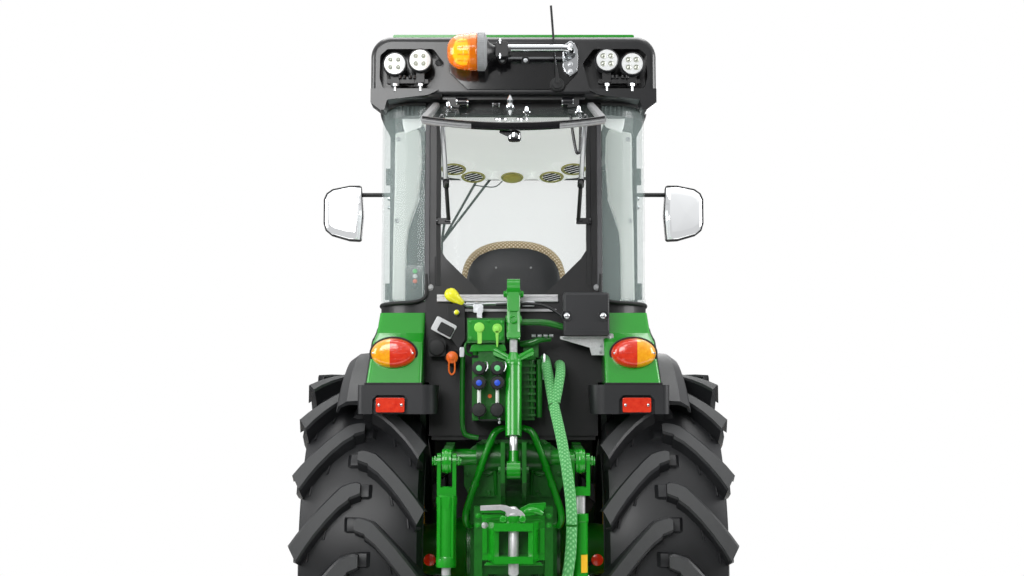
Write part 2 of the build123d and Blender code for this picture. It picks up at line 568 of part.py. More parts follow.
def roof_fittings():
    """Beacon on its bent tube, and the whip antenna."""
    mount, low = ROOF_REAR + PANEL_DEPTH, RAIL_Z + 44
    flange = [(176, low + 50), (200, low + 32), (224, low + 50), (224, low + 126), (200, low + 143),
              (176, low + 126)]
    plate = plate_y(flange, (ROOF_REAR - 6, mount), 5)
    out = ROOF_REAR - 80
    arm = tube([(197, ROOF_REAR - 6, low + 110), (197, out, low + 110), (-22, out, low + 110)], 12.5, 35)
    base = rod_y(152, low, 18, (ROOF_REAR - 16, mount))
    whip = rod_between((152, ROOF_REAR - 8, low + 6), (131, ROOF_REAR - 14, low + 279), 3.5)
    clamp = block((-60, -20), (out - 25, out + 20), (low + 76, low + 126))
    save("roof_brackets", plate + arm + clamp, base + whip)
    profile = [(0, 0), (0, 50), (12, 62), (28, 64), (44, 60), (90, 58), (122, 42), (136, 0)]
    dome = Pos(-92, out - 3, low + 78) * mirror(revolve(outline(profile), Axis.X), about=Plane.YZ)
    save("beacon", dome + rod_x(out - 3, low + 86, 20, (-92, -60)))


def glazing():
    wall = cab_plan(0) - cab_plan(GLASS)
    region = (block((313, 600), (-400, DOOR_POST_Y - POST / 2), (0, 3000)))
    pane = extrude(Plane.XY.offset(WAIST_Z + SEAT) * wall, amount=RAIL_Z - WAIST_Z - SEAT - 2) & region
    screen = block((-CAB_FRONT_HALF + POST + 1, CAB_FRONT_HALF - POST - 1),
                   (CAB_FRONT - 20, CAB_FRONT - 20 + GLASS),
                   (1420.3, RAIL_Z - POST - SEAT))
    save("cab_glass", screen, *both(pane))
    # rear window, curved across and held open
    a = radians(WINDOW_DROP)
    hinge = (0, CAB_REAR - 14, RAIL_Z - 5)
    across = Plane(origin=hinge, x_dir=(1, 0, 0), z_dir=(0, -cos(a), -sin(a)))
    def bowed(t, lift):
        w, s = WINDOW_HALF, 20
        top = ThreePointArc((-w, lift), (0, lift - s), (w, lift))
        low = ThreePointArc((-w, lift - t), (0, lift - s - t), (w, lift - t))
        return make_face(top + low + Line(top @ 0, low @ 0) + Line(top @ 1, low @ 1))
    pane = extrude(across * bowed(GLASS, 0), amount=WINDOW_LENGTH)
    save("rear_window", pane)
    end = Plane(origin=(0, hinge[1] - WINDOW_LENGTH * cos(a), hinge[2] - WINDOW_LENGTH * sin(a)),
                x_dir=(1, 0, 0),
                z_dir=(0, -cos(a), -sin(a)))
    bar = extrude(end * bowed(20, 7), amount=24)
    foot = WAIST_Z + 281
    struts = rod_between((228, CAB_REAR - 12, foot), (238, hinge[1] - 301, hinge[2] - 301 * tan(a) - 21), 7)
    struts += block((222, 270), (CAB_REAR - 20, CAB_REAR), (foot - 10, foot + 10))
    hinges = block((190, 230), (CAB_REAR - 60, CAB_REAR), (RAIL_Z - 50, RAIL_Z - SEAT)) - pane
    save("window_stays", bar, *both(struts, hinges))


def doors():
    """Side doors: a closed frame round one pane, hinged on the door post, with the foot cut to clear the fender."""
    y0 = DOOR_POST_Y + 36
    lean = degrees(atan2(CAB_HALF - CAB_FRONT_HALF, CAB_FRONT - DOOR_POST_Y - 40))
    reach = CAB_FRONT - POST - 6 - y0
    clear = ARCH_R + DOOR_CLEAR
    foot = [(clear * cos(radians(a)) - y0, REAR_Z + clear * sin(radians(a))) for a in (76, 56, 34, 24)]
    points = [(0, 2205), (0, foot[0][1]), *foot[1:], (reach, foot[-1][1]), (reach, 2205)]
    face = outline(points, 40)
    place = Pos(CAB_HALF, y0, 0) * Rot(0, 0, lean)
    body = place * extrude(Plane.YZ * (face - offset(face, amount=-38)), amount=-DOOR_T)
    for z in HINGE_Z:
        strap = block((CAB_HALF - 12, CAB_HALF + 10), (DOOR_HINGE[1], y0 + 30), (z, z + 50))
        body += strap + rod_z(*DOOR_HINGE, 10, (z, z + 50))
        body -= rod_z(*DOOR_HINGE, PIN_R / 2 + RUN, (z - 5, z + 55))
    save("door_right", body)
    save("door_left", mirror(body, about=Plane.YZ))
    pane = place * extrude(Plane.YZ.offset(-10) * offset(face, amount=-38 - SEAT), amount=-5)
    save("door_glass_right", pane)
    save("door_glass_left", mirror(pane, about=Plane.YZ))


def mirrors():
    rim = [(702, 2186), (756, 2186), (836, 2170), (864, 2150), (876, 2122), (876, 2010), (866, 1976),
           (840, 1955),
           (758, 1931), (703, 1928), (693, 2048)]
    head = plate_y(rim, (CAB_FRONT + 12, CAB_FRONT + 52), 12)
    arm = rod_x(CAB_FRONT + 32, 2145, 9, (CAB_FRONT_HALF - 20, 705)) + block(
        (CAB_FRONT_HALF - 35, CAB_FRONT_HALF - 5), (CAB_FRONT, CAB_FRONT + 40), (2125, 2165))
    save("mirrors", *both(head + arm))


# ---------------------------------------------------------------- bonnet and fenders
def hood():
    """Tapered bonnet shell, open below and behind, with the grille and head lamps in its nose."""
    stations = [(HOOD_REAR, 268, 960, 1410), (WHEELBASE - 180, 262, 930, 1362), (HOOD_FRONT, 236, 880, 1215)]

    def section(y, half, low, top, wall=0.0):
        h, t, b = half - wall, top - wall, low - 8 * wall
        edge = FilletPolyline((-h, b), (-h, t), (h, t), (h, b), radius=70 - wall)
        face = make_face(edge + Line((h, b), (-h, b)))
        return Plane(origin=(0, y, 0), x_dir=(1, 0, 0), z_dir=(0, -1, 0)) * face

    shell = loft([section(*s) for s in stations], ruled=True)
    shell -= loft([section(*s, wall=HOOD_WALL) for s in stations], ruled=True)
    y, z = HOOD_HINGE
    for side in both(block((115, 130), (y - 13, y + 17), (z - 14, z + 26))):
        shell += side
    shell -= rod_x(y, z, HOOD_HINGE_R + RUN, (-150, 150))
    save("hood", shell)
    y, half, low, top = stations[-1]
    face = plate_y([(-half, low), (-half, top), (half, top), (half, low)], (y, y + 40), 60)
    face -= plate_y([(-half + 30, low + 40), (-half + 45, top - 110), (half - 45, top - 110),
                     (half - 30, low + 40)],
                    (y - 5, y + 60), 20)
    for z in range(int(low) + 55, int(top) - 120, 26):
        face += block((-half + 20, half - 20), (y + 8, y + 24), (z, z + 8))
    save("grille", face)
    save("head_lamps", *both(rod_y(140, top - 62, 38, (y + 40, y + 60))))


def fender_hump(side):
    """The painted box over the tyre, its rear face bulging down and back."""
    top = WAIST_Z - POST - SEAT
    rows = [  # height, rear face, outer side
        (HUMP_FOOT, HUMP_REAR, FENDER_OUT),
        (LAMP_Z + 40, HUMP_REAR + 55, 482),
        (LAMP_Z + 73, HUMP_REAR + 115, 474),
        (top, HUMP_REAR + 155, 467),
    ]
    faces = [Plane.XY.offset(z) * outline([(FENDER_IN, y), (x, y), (x, 128), (FENDER_IN, 128)], 12)
             for z, y, x in rows]
    hump = loft(faces, ruled=True) - rod_x(0, REAR_Z, ARCH_R, (0, 900))
    return hump if side > 0 else mirror(hump, about=Plane.YZ)


def bumper():
    """The moulded block under the painted panel, with an arched recess for its reflector."""
    rear, low, high = BUMPER_REAR, BUMPER_FOOT, HUMP_FOOT - SEAT
    body = block((257, 523), (rear, rear + 132), (low, high))
    corners = body.edges().filter_by(Axis.Z).filter_by_position(Axis.Y, rear - 1, rear + 1).sort_by(Axis.X)
    body = fillet(corners[0], 48)
    uprights = body.edges().filter_by(Axis.Z).filter_by_position(Axis.Y, rear - 1, rear + 1)
    body = fillet(uprights.sort_by(Axis.X)[-1], 24)
    arched = [(353, low - 12), (353, low + 48), (367, low + 63), (458, low + 63), (472, low + 48),
              (472, low - 12)]
    body -= plate_y(arched, (rear - 1, rear + RECESS), 7)
    return body - rod_x(0, REAR_Z, ARCH_R + 4, (200, 600))


def fenders():
    panel = fender_hump(1) + arch((ARCH_R, ARCH_R + ARCH_T), (29, 90), (FENDER_IN, FENDER_OUT))
    save("rear_fenders", *both(panel))
    # the flare's section, as (X, radius) points, turned about the axle; its outer edge rolls in
    near, far, r = FENDER_OUT + SEAT, EXTENSION_OUT, ARCH_R
    section = [(near, r), (near, r + 22), (far - 40, r + 16), (far - 10, r - 6), (far, r - 34),
               (far - 8, r - 34),
               (far - 18, r - 12), (far - 44, r)]
    flare = revolve(outline(section), Axis.X, FLARE_TURN[1] - FLARE_TURN[0])
    flare = Pos(0, 0, REAR_Z) * Rot(FLARE_TURN[0], 0, 0) * flare
    save("fender_extensions", *both(flare + bumper()))


# ---------------------------------------------------------------- rear linkage and hitch
def linkage():
    """Rocker shaft with its two arms, the lower links, and the lift rods, whose lower eyes have room to drift."""
    arm_x = (LINKAGE_X - ARM_T / 2, LINKAGE_X + ARM_T / 2)
    arm = plate_x([(ROCKER[0], ROCKER[1] - ROCKER_R + 2), (ROCKER[0], ROCKER[1] + ROCKER_R - 2),
                   (ARM_END[0], ARM_END[1] + 34), (ARM_END[0], ARM_END[1] - 34)], arm_x)
    arm += rod_x(*ROCKER, ROCKER_R, arm_x) + rod_x(*ARM_END, 38, arm_x)
    arm += rod_x(*ARM_END, PIN_R, (LINKAGE_X - 40, LINKAGE_X + 40))
    body = rod_x(*ROCKER, SHAFT_R, (-arm_x[1] - 8, arm_x[1] + 8))
    for side in both(arm):
        body += side
    save("lift_arms", body)
    fork_in, fork_t = ARM_T / 2 + 4, 12
    eye_in, eye_t = LINK_T / 2 + 5, 10

    def rod(thick_r, thick_z):
        """One lift rod: fork on the arm's pin, screw, body, and a fork whose eyes clear the link's pin."""
        (ay, az), (fy, fz) = ARM_END, ROD_FOOT
        out = fork_in + fork_t
        shape = block((LINKAGE_X - out, LINKAGE_X + out), (ay - 26, ay + 22), (az - 110, az - 84))
        low = eye_in + eye_t
        shape += block((LINKAGE_X - low, LINKAGE_X + low), (fy - 30, fy + 30), (fz + 62, fz + 84))
        for s in (-1, 1):
            top_x = sorted((LINKAGE_X + s * fork_in, LINKAGE_X + s * out))
            shape += block(top_x, (ay - 26, ay + 22), (az - 90, az)) + rod_x(ay, az, 26, top_x)
            low_x = sorted((LINKAGE_X + s * eye_in, LINKAGE_X + s * low))
            shape += block(low_x, (fy - 30, fy + 30), (fz, fz + 70)) + rod_x(fy, fz, 34, low_x)
        shape -= rod_x(ay, az, PIN_R + RUN, (0, 400))
        shape -= rod_x(fy, fz, LINK_PIN_R + DRIFT, (0, 400))
        shape += rod_between((LINKAGE_X, ay - 2, az - 100), (LINKAGE_X, fy, fz + 70), 14)
        return shape + rod_between((LINKAGE_X, ay - 5, thick_z[0]), (LINKAGE_X, fy + 3, thick_z[1]), thick_r)

    save("lift_rod_right", rod(24, (830, 560)))
    save("lift_rod_left", mirror(rod(32, (890, 660)), about=Plane.YZ))
    link_x = (LINKAGE_X - LINK_T / 2, LINKAGE_X + LINK_T / 2)
    (py, pz), (ey, ez), (fy, fz) = LINK_PIVOT, LINK_END, ROD_FOOT
    link = plate_x([(py, pz + 30), (py, pz - 30), (fy, fz - 36), (ey, ez - 26), (ey, ez + 26), (fy, fz + 36)],
                   link_x)
    link += rod_x(py, pz, 38, link_x) + rod_x(ey, ez, 35, (LINKAGE_X - BALL_HALF, LINKAGE_X + BALL_HALF))
    link += rod_x(fy, fz, LINK_PIN_R, (LINKAGE_X - eye_in - eye_t - 6, LINKAGE_X + eye_in + eye_t + 6))
    link -= rod_x(py, pz, PIVOT_PIN_R + RUN, (0, 400)) + rod_x(ey, ez, BALL_BORE, (0, 400))
    save("lower_link_right", link)
    save("lower_link_left", mirror(link, about=Plane.YZ))


def top_link():
    """Top link, drawn along +Z from its pin and then turned to where it is stowed."""
    (py, pz), (ty, tz) = TOP_PIN, TOP_STOWED
    length = hypot(ty - py, tz - pz)
    body = rod_z(0, 0, 11, (30, length - 30)) + rod_z(0, 0, TOP_TUBE_R, (112, 372))
    cone = Pos(0, 0, 386) * Cone(TOP_TUBE_R, 15, 28)
    body += cone + rod_x(0, 0, 30, (-22, 22)) + rod_z(0, 0, 17, (20, 62))
    body -= rod_x(0, 0, PIN_R + RUN, (-60, 60))
    head = block((-TOP_BALL_HALF, TOP_BALL_HALF), (-22, 26), (length - 186, length - 14))
    body += chamfer(head.edges().filter_by(Axis.Z), 8)
    body += rod_x(0, length, 34, (-TOP_BALL_HALF, TOP_BALL_HALF))
    for side in both(plate_y([(10, 368), (66, 392), (70, 402), (60, 406), (8, 388)], (-6, 6))):
        body += side
    body -= rod_x(0, length, TOP_BORE, (-60, 60))
    turn = degrees(atan2(tz - pz, ty - py)) - 90
    save("top_link", Pos(0, py, pz) * Rot(turn, 0, 0) * body)


def rear_frame():
    """Everything in black plate at the rear: top link bracket, hitch rails and the guard over the power take-off."""
    (py, pz), back = TOP_PIN, HOUSING_REAR
    bracket = block((-60, 60), (back - 20, back), (840, HOUSING_TOP - 15)) + rod_x(py, pz, PIN_R, (-50, 50))
    cheek = plate_x([(back - 20, 840), (back - 20, 905), (back - 68, 940), (back - 68, 1045), (py - 30, 1062),
                     (py - 30, 930), (py + 40, 880)], (28, 42))
    for side in both(cheek):
        bracket += side
    rails = block((-126, 126), (-652, -640), (640, 680))
    for side in both(block((100, 126), (-700, -640), (350, 857)) + block((100, 126), (-640, back), (400, 540))):
        rails += side
    guard = plate_y([(-94, 655), (94, 655), (94, 540), (86, 540), (86, 647), (-86, 647), (-86, 540),
                     (-94, 540)],
                    (-480, back))
    save("rear_frame", bracket, rails, guard)
    jaw = block((-99.7, 99.7), (-700, -660), (690, 830))
    for z in ((790, 815), (690, 712)):
        jaw += plate_z([(-82, -700), (82, -700), (60, -800), (-60, -800)], z)
    for side in both(plate_z([(80, -700), (66, -700), (46, -784), (60, -796)], (712, 790))):
        jaw += side
    jaw += rod_z(0, -765, 15, (655, 850)) + rod_z(0, -765, 26, (815, 836))
    jaw += plate_y([(-104, 846), (-104, 864), (-24, 862), (20, 850), (20, 830), (-12, 830), (-30, 846)],
                   (-776, -756), 5)
    jaw += plate_y([(14, 832), (22, 852), (52, 868), (98, 868), (94, 848), (62, 838)], (-772, -760), 4)
    save("trailer_coupler", jaw)


def remote_valves():
    """Spool valve block with its couplers and a ribbed valve beside it, and the sensor box by the right fender."""
    body = block((-140, -26), (-480, CAB_REAR), (1130, 1340))
    body += block((-120, -60), (-460, CAB_REAR), (1335, 1400))
    body += block((-158, -29), (-480, CAB_REAR), (1392, 1477))
    for x in (-113, -55):
        for z in (1305, 1259, 1166):
            body += rod_y(x, z, 22, (-545, -480))
    ribbed = block((24, 72), (-430, CAB_REAR), (1130, 1345)) + block((34, 86), (-420, CAB_REAR), (1345, 1400))
    for z in range(1144, 1340, 24):
        ribbed += block((20, 76), (-442, CAB_REAR), (z, z + 8))
    save("remote_valves", body, ribbed)
    low = WAIST_Z - 128
    case = fillet(block((169, 328), (-462, -412), (low, low + 149)).edges(), 10)
    save("valve_box", case + block((200, 300), (-416, CAB_REAR), (low + 23, low + 73)))


def hoses():
    """Two steel pipes that spread to the lift cylinders, and the sleeved hoses behind the right lift rod."""
    pipes, out = [], CAB_REAR - 65
    for s in (-1, 1):
        route = [(35, CAB_REAR, 1112), (35, out + 10, 1112), (100, out, 960), (150, out - 5, 830),
                 (112, out, 770),
                 (112, HOUSING_REAR, 770)]
        pipes.append(tube([(s * x, y, z) for x, y, z in route], 9, 18))
    save("lift_pipes", *pipes)
    route = [(108, CAB_REAR, 1340), (108, CAB_REAR - 80, 1340), (121, -478, 1270), (134, -545, 1180),
             (154, -640, 1085),
             (172, -692, 975), (186, -702, 864), (186, -702, 750), (176, -690, 650), (158, -640, 575),
             (138, -545, 564),
             (122, HOUSING_REAR - 110, 575), (122, HOUSING_REAR, 575)]
    save("lift_hoses", tube(route, SLEEVE_R, bends(route)))


def bends(route):
    """For each inner corner, the largest arc that its two runs have room for."""
    radii = []
    for a, b, c in zip(route, route[1:], route[2:]):
        before, after = Vector(b) - Vector(a), Vector(c) - Vector(b)
        turn = radians(before.get_angle(after))
        radii.append(0.45 * min(before.length, after.length) / tan(turn / 2))
    return radii


for make in (wheels, transmission, engine, front_support, front_axle, knuckles, side_boxes, cab_frame,
             cab_floor,
             cab_inside, roof, lamps, roof_fittings, glazing, doors, mirrors, hood, fenders, linkage, top_link,
             rear_frame, remote_valves, hoses):
    make()
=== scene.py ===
"""Looks of the narrow cab tractor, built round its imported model. Metres; +Y is ahead, +X right, +Z up."""
import json
from math import atan2, cos, pi, radians, sin, sqrt

import bmesh
import bpy
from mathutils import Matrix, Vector


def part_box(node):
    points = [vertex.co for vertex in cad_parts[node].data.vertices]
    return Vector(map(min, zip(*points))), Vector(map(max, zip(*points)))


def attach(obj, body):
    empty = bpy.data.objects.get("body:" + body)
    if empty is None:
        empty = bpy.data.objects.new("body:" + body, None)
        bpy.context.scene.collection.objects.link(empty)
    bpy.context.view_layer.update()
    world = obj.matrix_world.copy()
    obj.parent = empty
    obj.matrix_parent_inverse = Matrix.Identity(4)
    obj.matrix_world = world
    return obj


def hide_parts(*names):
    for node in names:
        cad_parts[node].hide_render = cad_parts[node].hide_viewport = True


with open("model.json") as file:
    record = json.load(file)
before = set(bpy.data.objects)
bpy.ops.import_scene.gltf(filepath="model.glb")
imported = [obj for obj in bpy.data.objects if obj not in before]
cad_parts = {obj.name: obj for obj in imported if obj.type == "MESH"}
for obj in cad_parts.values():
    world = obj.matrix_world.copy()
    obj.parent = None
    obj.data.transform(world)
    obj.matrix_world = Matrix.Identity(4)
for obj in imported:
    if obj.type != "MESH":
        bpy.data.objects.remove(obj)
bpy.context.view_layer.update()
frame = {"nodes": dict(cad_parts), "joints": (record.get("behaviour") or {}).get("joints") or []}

node = frame["nodes"]
joint = {j["name"]: Vector(j.get("pos_m", (0, 0, 0))) for j in frame["joints"]}
AXLE = joint["rear_right_spin"]  # the rear axle line, from which the pieces behind are placed


# ---- Studio -------------------------------------------------------------------------------------
# A round pale floor under white light from all sides, with soft lamps above, behind, ahead and to both sides.
# The camera stands square behind the tractor at chest height and looks up a little.
FLOOR_RADIUS = 3.2


def linear(code, alpha=1.0):
    """An sRGB hex code as linear red, green, blue and alpha."""
    parts = [int(code[k:k + 2], 16) / 255 for k in (1, 3, 5)]
    return (*(c / 12.92 if c <= 0.04045 else ((c + 0.055) / 1.055) ** 2.4 for c in parts), alpha)


def add_node(tree, kind, settings=None, links=None):
    """One shader node with its settings; links takes values, or (node, output) pairs, by input name."""
    new = tree.nodes.new(kind)
    for key, value in (settings or {}).items():
        setattr(new, key, value)
    for key, value in (links or {}).items():
        if isinstance(value, tuple) and isinstance(value[0], bpy.types.Node):
            tree.links.new(value[0].outputs[value[1]], new.inputs[key])
        else:
            new.inputs[key].default_value = value
    return new


world = bpy.data.worlds.new("studio")
bpy.context.scene.world = world
world.use_nodes = True
sky = world.node_tree
sky.nodes.clear()
path = add_node(sky, "ShaderNodeLightPath")
seen = add_node(sky, "ShaderNodeMath", {"operation": "MAXIMUM"},
                {0: (path, "Is Camera Ray"), 1: (path, "Is Transmission Ray")})
way_up = add_node(sky, "ShaderNodeSeparateXYZ", {},
                  {"Vector": (add_node(sky, "ShaderNodeTexCoord"), "Generated")})
mirrored = add_node(sky, "ShaderNodeMapRange", {},
                    {"Value": (way_up, "Z"), "From Min": 0.0, "From Max": 0.7, "To Min": 0.1, "To Max": 1.0})
unseen = add_node(sky, "ShaderNodeMix", {}, {"Factor": (path, "Is Glossy Ray"), "A": 0.3, "B": (mirrored, 0)})
strength = add_node(sky, "ShaderNodeMix", {}, {"Factor": (seen, 0), "A": (unseen, 0), "B": 1.0})
white = add_node(sky, "ShaderNodeBackground", {}, {"Color": (1, 1, 1, 1), "Strength": (strength, 0)})
add_node(sky, "ShaderNodeOutputWorld", {}, {"Surface": (white, 0)})

for name, place, target, size, power in (
    ("lamp_above", (0.0, -0.4, 5.2), (0, -0.3, 1.2), 3.6, 150),
    ("lamp_behind", (-1.6, -6.2, 3.4), (0, -0.9, 1.1), 2.6, 150),
    ("lamp_left", (-4.2, -2.2, 2.4), (0, -0.6, 1.2), 2.4, 110),
    ("lamp_right", (4.4, -2.0, 2.6), (0, -0.6, 1.2), 2.4, 130),
    ("lamp_front", (0.8, 5.2, 3.4), (0, 0.8, 1.1), 3.0, 110),
):
    light = bpy.data.lights.new(name, "AREA")
    light.size = size
    light.energy = power
    lamp = bpy.data.objects.new(name, light)
    lamp.location = place
    lamp.rotation_euler = (Vector(target) - Vector(place)).to_track_quat("-Z", "Y").to_euler()
    bpy.context.collection.objects.link(lamp)

bpy.ops.mesh.primitive_circle_add(vertices=96, radius=FLOOR_RADIUS, fill_type="NGON")
floor = bpy.context.object
floor.name = "studio_floor"
# matt paint: a pale even floor
floor_paint = bpy.data.materials.new("floor_paint")
floor_paint.use_nodes = True
floor_paint.node_tree.nodes["Principled BSDF"].inputs["Base Color"].default_value = linear("#EEEEEC")
floor_paint.node_tree.nodes["Principled BSDF"].inputs["Roughness"].default_value = 0.7
floor.data.materials.append(floor_paint)

CAMERA_BACK = 5.1  # behind the rear axle
CAMERA_HEIGHT = 1.199
CAMERA_PITCH, CAMERA_YAW = 94.70, 0.063  # degrees; 90 looks level
SENSOR, LENS = 36.0, 47.88  # millimetres
camera_data = bpy.data.cameras.new("camera")
camera_data.sensor_width = SENSOR
camera_data.lens = LENS
camera = bpy.data.objects.new("camera", camera_data)
camera.location = (0.0, AXLE.y - CAMERA_BACK, CAMERA_HEIGHT)
camera.rotation_euler = (radians(CAMERA_PITCH), 0.0, radians(CAMERA_YAW))
bpy.context.collection.objects.link(camera)
bpy.context.scene.camera = camera
bpy.context.scene.view_settings.view_transform = "Standard"


# ---- Castings and painted sheet ------------------------------------------------------------------
# Housings, axle and bodywork are green enamel over iron and steel: a hard gloss with slight orange peel.
# Frames and brackets are black powder coat, duller and with a finer grain. The engine is dark grey.


def finish(name, colour, second=None, patch=0.12, roughness=0.4, metallic=0.0, coat=0.0, bump=0.0,
           grain=0.003, detail=3.0, glow=("#FFFFFF", 0.0), **inputs):
    """A material whose colour drifts between two hex values over patches, with a bump of one grain size.

    Sizes are in metres, and glow holds the colour and the strength of a faint light of its own."""
    material = bpy.data.materials.new(name)
    material.use_nodes = True
    tree = material.node_tree
    shader = tree.nodes["Principled BSDF"]
    place = add_node(tree, "ShaderNodeTexCoord")
    drift = add_node(tree, "ShaderNodeTexNoise", {},
                     {"Vector": (place, "Object"), "Scale": 1 / patch, "Detail": detail})
    blend = add_node(tree, "ShaderNodeMix", {"data_type": "RGBA"},
                     {"Factor": (drift, "Fac"), "A": linear(colour), "B": linear(second or colour)})
    tree.links.new(blend.outputs["Result"], shader.inputs["Base Color"])
    rough = add_node(tree, "ShaderNodeMapRange", {},
                     {"Value": (drift, "Fac"), "To Min": roughness * 0.85, "To Max": roughness * 1.15})
    tree.links.new(rough.outputs["Result"], shader.inputs["Roughness"])
    shader.inputs["Metallic"].default_value = metallic
    shader.inputs["Coat Weight"].default_value = coat
    shader.inputs["Coat Roughness"].default_value = 0.06
    if bump:
        grains = add_node(tree, "ShaderNodeTexNoise", {},
                          {"Vector": (place, "Object"), "Scale": 1 / grain, "Detail": 2.0})
        relief = add_node(tree, "ShaderNodeBump", {},
                          {"Height": (grains, "Fac"), "Strength": bump, "Distance": grain / 3})
        tree.links.new(relief.outputs["Normal"], shader.inputs["Normal"])
    if glow[1]:
        shader.inputs["Emission Color"].default_value = linear(glow[0])
        shader.inputs["Emission Strength"].default_value = glow[1]
    for key, value in inputs.items():
        shader.inputs[key].default_value = value
    return material


# gloss enamel on pressed sheet: a deep green with sharp highlights and slight orange peel
green_enamel = finish("green_enamel", "#0F8A14", "#18A01E", patch=0.25, roughness=0.25, coat=0.5, bump=0.06,
                      grain=0.004)
# the same enamel over rough iron, its highlights broken up; painted darker than the sheet as painted shade on
# the housings
shaded_green_casting = finish("green_enamel_on_iron_painted_shade", "#074F0C", "#0E7A14", patch=0.06, roughness=0.32, coat=0.35,
                       bump=0.35, grain=0.006)
# powder coat: an even satin black with a fine grain
black_coat = finish("black_powder_coat", "#0C0C0E", "#141416", patch=0.05, roughness=0.42, coat=0.15,
                    bump=0.12, grain=0.0012)
# enamel over sand castings: dull dark grey, lightly pitted
engine_paint = finish("dark_engine_enamel", "#232527", "#2D2F31", patch=0.08, roughness=0.45, bump=0.3,
                      grain=0.005)
# unpainted polypropylene: charcoal, with wide soft highlights
dark_moulding = finish("moulded_dark_polypropylene", "#1D1E20", "#27282B", patch=0.18, roughness=0.46,
                       bump=0.22, grain=0.0012)
# a smoother mould: black with a calm sheen over the large curves
roof_moulding = finish("semi_gloss_roof_moulding", "#141517", "#1C1D1F", patch=0.3, roughness=0.3, coat=0.35,
                       bump=0.08, grain=0.0012)
# gloss enamel on rolled rims and discs: a warm even yellow
yellow_enamel = finish("yellow_wheel_enamel", "#F0BE12", "#F6CB28", patch=0.2, roughness=0.28, coat=0.5,
                       bump=0.05, grain=0.004)
# bright zinc: pale metal, slightly cloudy
zinc_plate = finish("zinc_plated_steel", "#C9CCD0", "#E2E4E6", patch=0.02, roughness=0.3, metallic=1.0,
                    bump=0.05, grain=0.001)
# felt over foam: matt and pale; the glow stands for daylight that the panes let in
headliner_felt = finish("pale_headliner_felt", "#DCDEDD", "#EAECEA", patch=0.04, roughness=0.85, bump=0.3,
                        grain=0.0015, glow=("#D8DBD9", 0.56))
# moulded rubber: matt, near black
rubber = finish("black_moulded_rubber", "#121314", "#1B1C1D", patch=0.03, roughness=0.62, bump=0.15,
                grain=0.001)


def dress(names, material):
    """Give CAD nodes one material."""
    for name in names:
        node[name].data.materials.clear()
        node[name].data.materials.append(material)


sides = ("left", "right")
dress(["rear_fenders", "roof_top", "hood"], green_enamel)
# the castings take the darker enamel, whose extra darkness is painted shade
dress(["transmission", "front_support", "front_axle", "rear_frame", "remote_valves",
       *(f"knuckle_{s}" for s in sides)], shaded_green_casting)
dress(["cab_frame", "cab_floor", "steps", "window_stays", *(f"door_{s}" for s in sides)], black_coat)
dress(["engine"], engine_paint)
dress(["roof_base"], roof_moulding)
dress(["fender_extensions", "side_boxes", "cab_fittings", "steering_wheel", "grille", "mirrors",
       "seat_cushions"], dark_moulding)
dress(["headliner"], headliner_felt)
dress([f"{end}_rim_{s}" for end in ("rear", "front") for s in sides], yellow_enamel)
dress([f"{end}_tyre_{s}" for end in ("rear", "front") for s in sides], rubber)
dress(["pto_shaft", "exhaust", "head_lamps", "beacon"], zinc_plate)


# ---- Glass ---------------------------------------------------------------------------------------
# Toughened cab glass, tinted pale green, 5 to 6 mm thick, curved at the quarters and held in rubber seals.
# Light passes it with little loss, so it shows as a faint cool veil with sharp reflections.
tinted_glass = finish("tinted_toughened_glass", "#C9DDDA", "#D0E2DF", patch=0.6, roughness=0.03,
                      **{"Alpha": 0.16, "IOR": 1.45})
dress(["cab_glass", *(f"door_glass_{s}" for s in sides)], tinted_glass)


# ---- Tyres ---------------------------------------------------------------------------------------
# Radial tractor tyres of black rubber, moulded in a hot press: smooth grey tops on the bars, darker between.
# Each bar starts at a blunt nose by the middle, bends back to the shoulder and runs down on to the sidewall.
# The bars of the two sides stand half a pitch apart, and their noses point up where the wheel faces back.


def grid(shape, rows, closed=False):
    """Quads between rows of points that are equally long; closed joins each row's end to its start."""
    verts, faces = shape
    first, width = len(verts), len(rows[0])
    for row in rows:
        verts.extend(row)
    for i in range(len(rows) - 1):
        for k in range(width if closed else width - 1):
            a, b = first + i * width + k, first + i * width + (k + 1) % width
            faces.append((a, b, b + width, a + width))


def cap(shape, count, start=None):
    """One face over the newest row of count points, or over the row that begins at start."""
    verts, faces = shape
    begin = len(verts) - count if start is None else start
    faces.append(tuple(range(begin, begin + count)))


def piece(name, shape, material, body="chassis", bevel=0.0, angle=38, subdivide=0):
    """A mesh object from gathered points and faces, riding on a body, with soft edges and smooth faces."""
    mesh = bpy.data.meshes.new(name)
    mesh.from_pydata([tuple(v) for v in shape[0]], [], shape[1])
    mesh.validate()
    mesh.update()
    obj = bpy.data.objects.new(name, mesh)
    bpy.context.collection.objects.link(obj)
    bm = bmesh.new()
    bm.from_mesh(mesh)
    bmesh.ops.recalc_face_normals(bm, faces=bm.faces)
    bm.to_mesh(mesh)
    bm.free()
    mesh.shade_smooth()
    mesh.set_sharp_from_angle(angle=radians(angle))
    mesh.materials.append(material)
    if bevel:
        soften = obj.modifiers.new("soft_edges", "BEVEL")
        soften.width = bevel
        soften.segments = 2
        soften.limit_method = "ANGLE"
        soften.angle_limit = radians(30)
        soften.harden_normals = True
    if subdivide:
        round_off = obj.modifiers.new("round_form", "SUBSURF")
        round_off.levels = round_off.render_levels = subdivide
    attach(obj, body)
    return obj


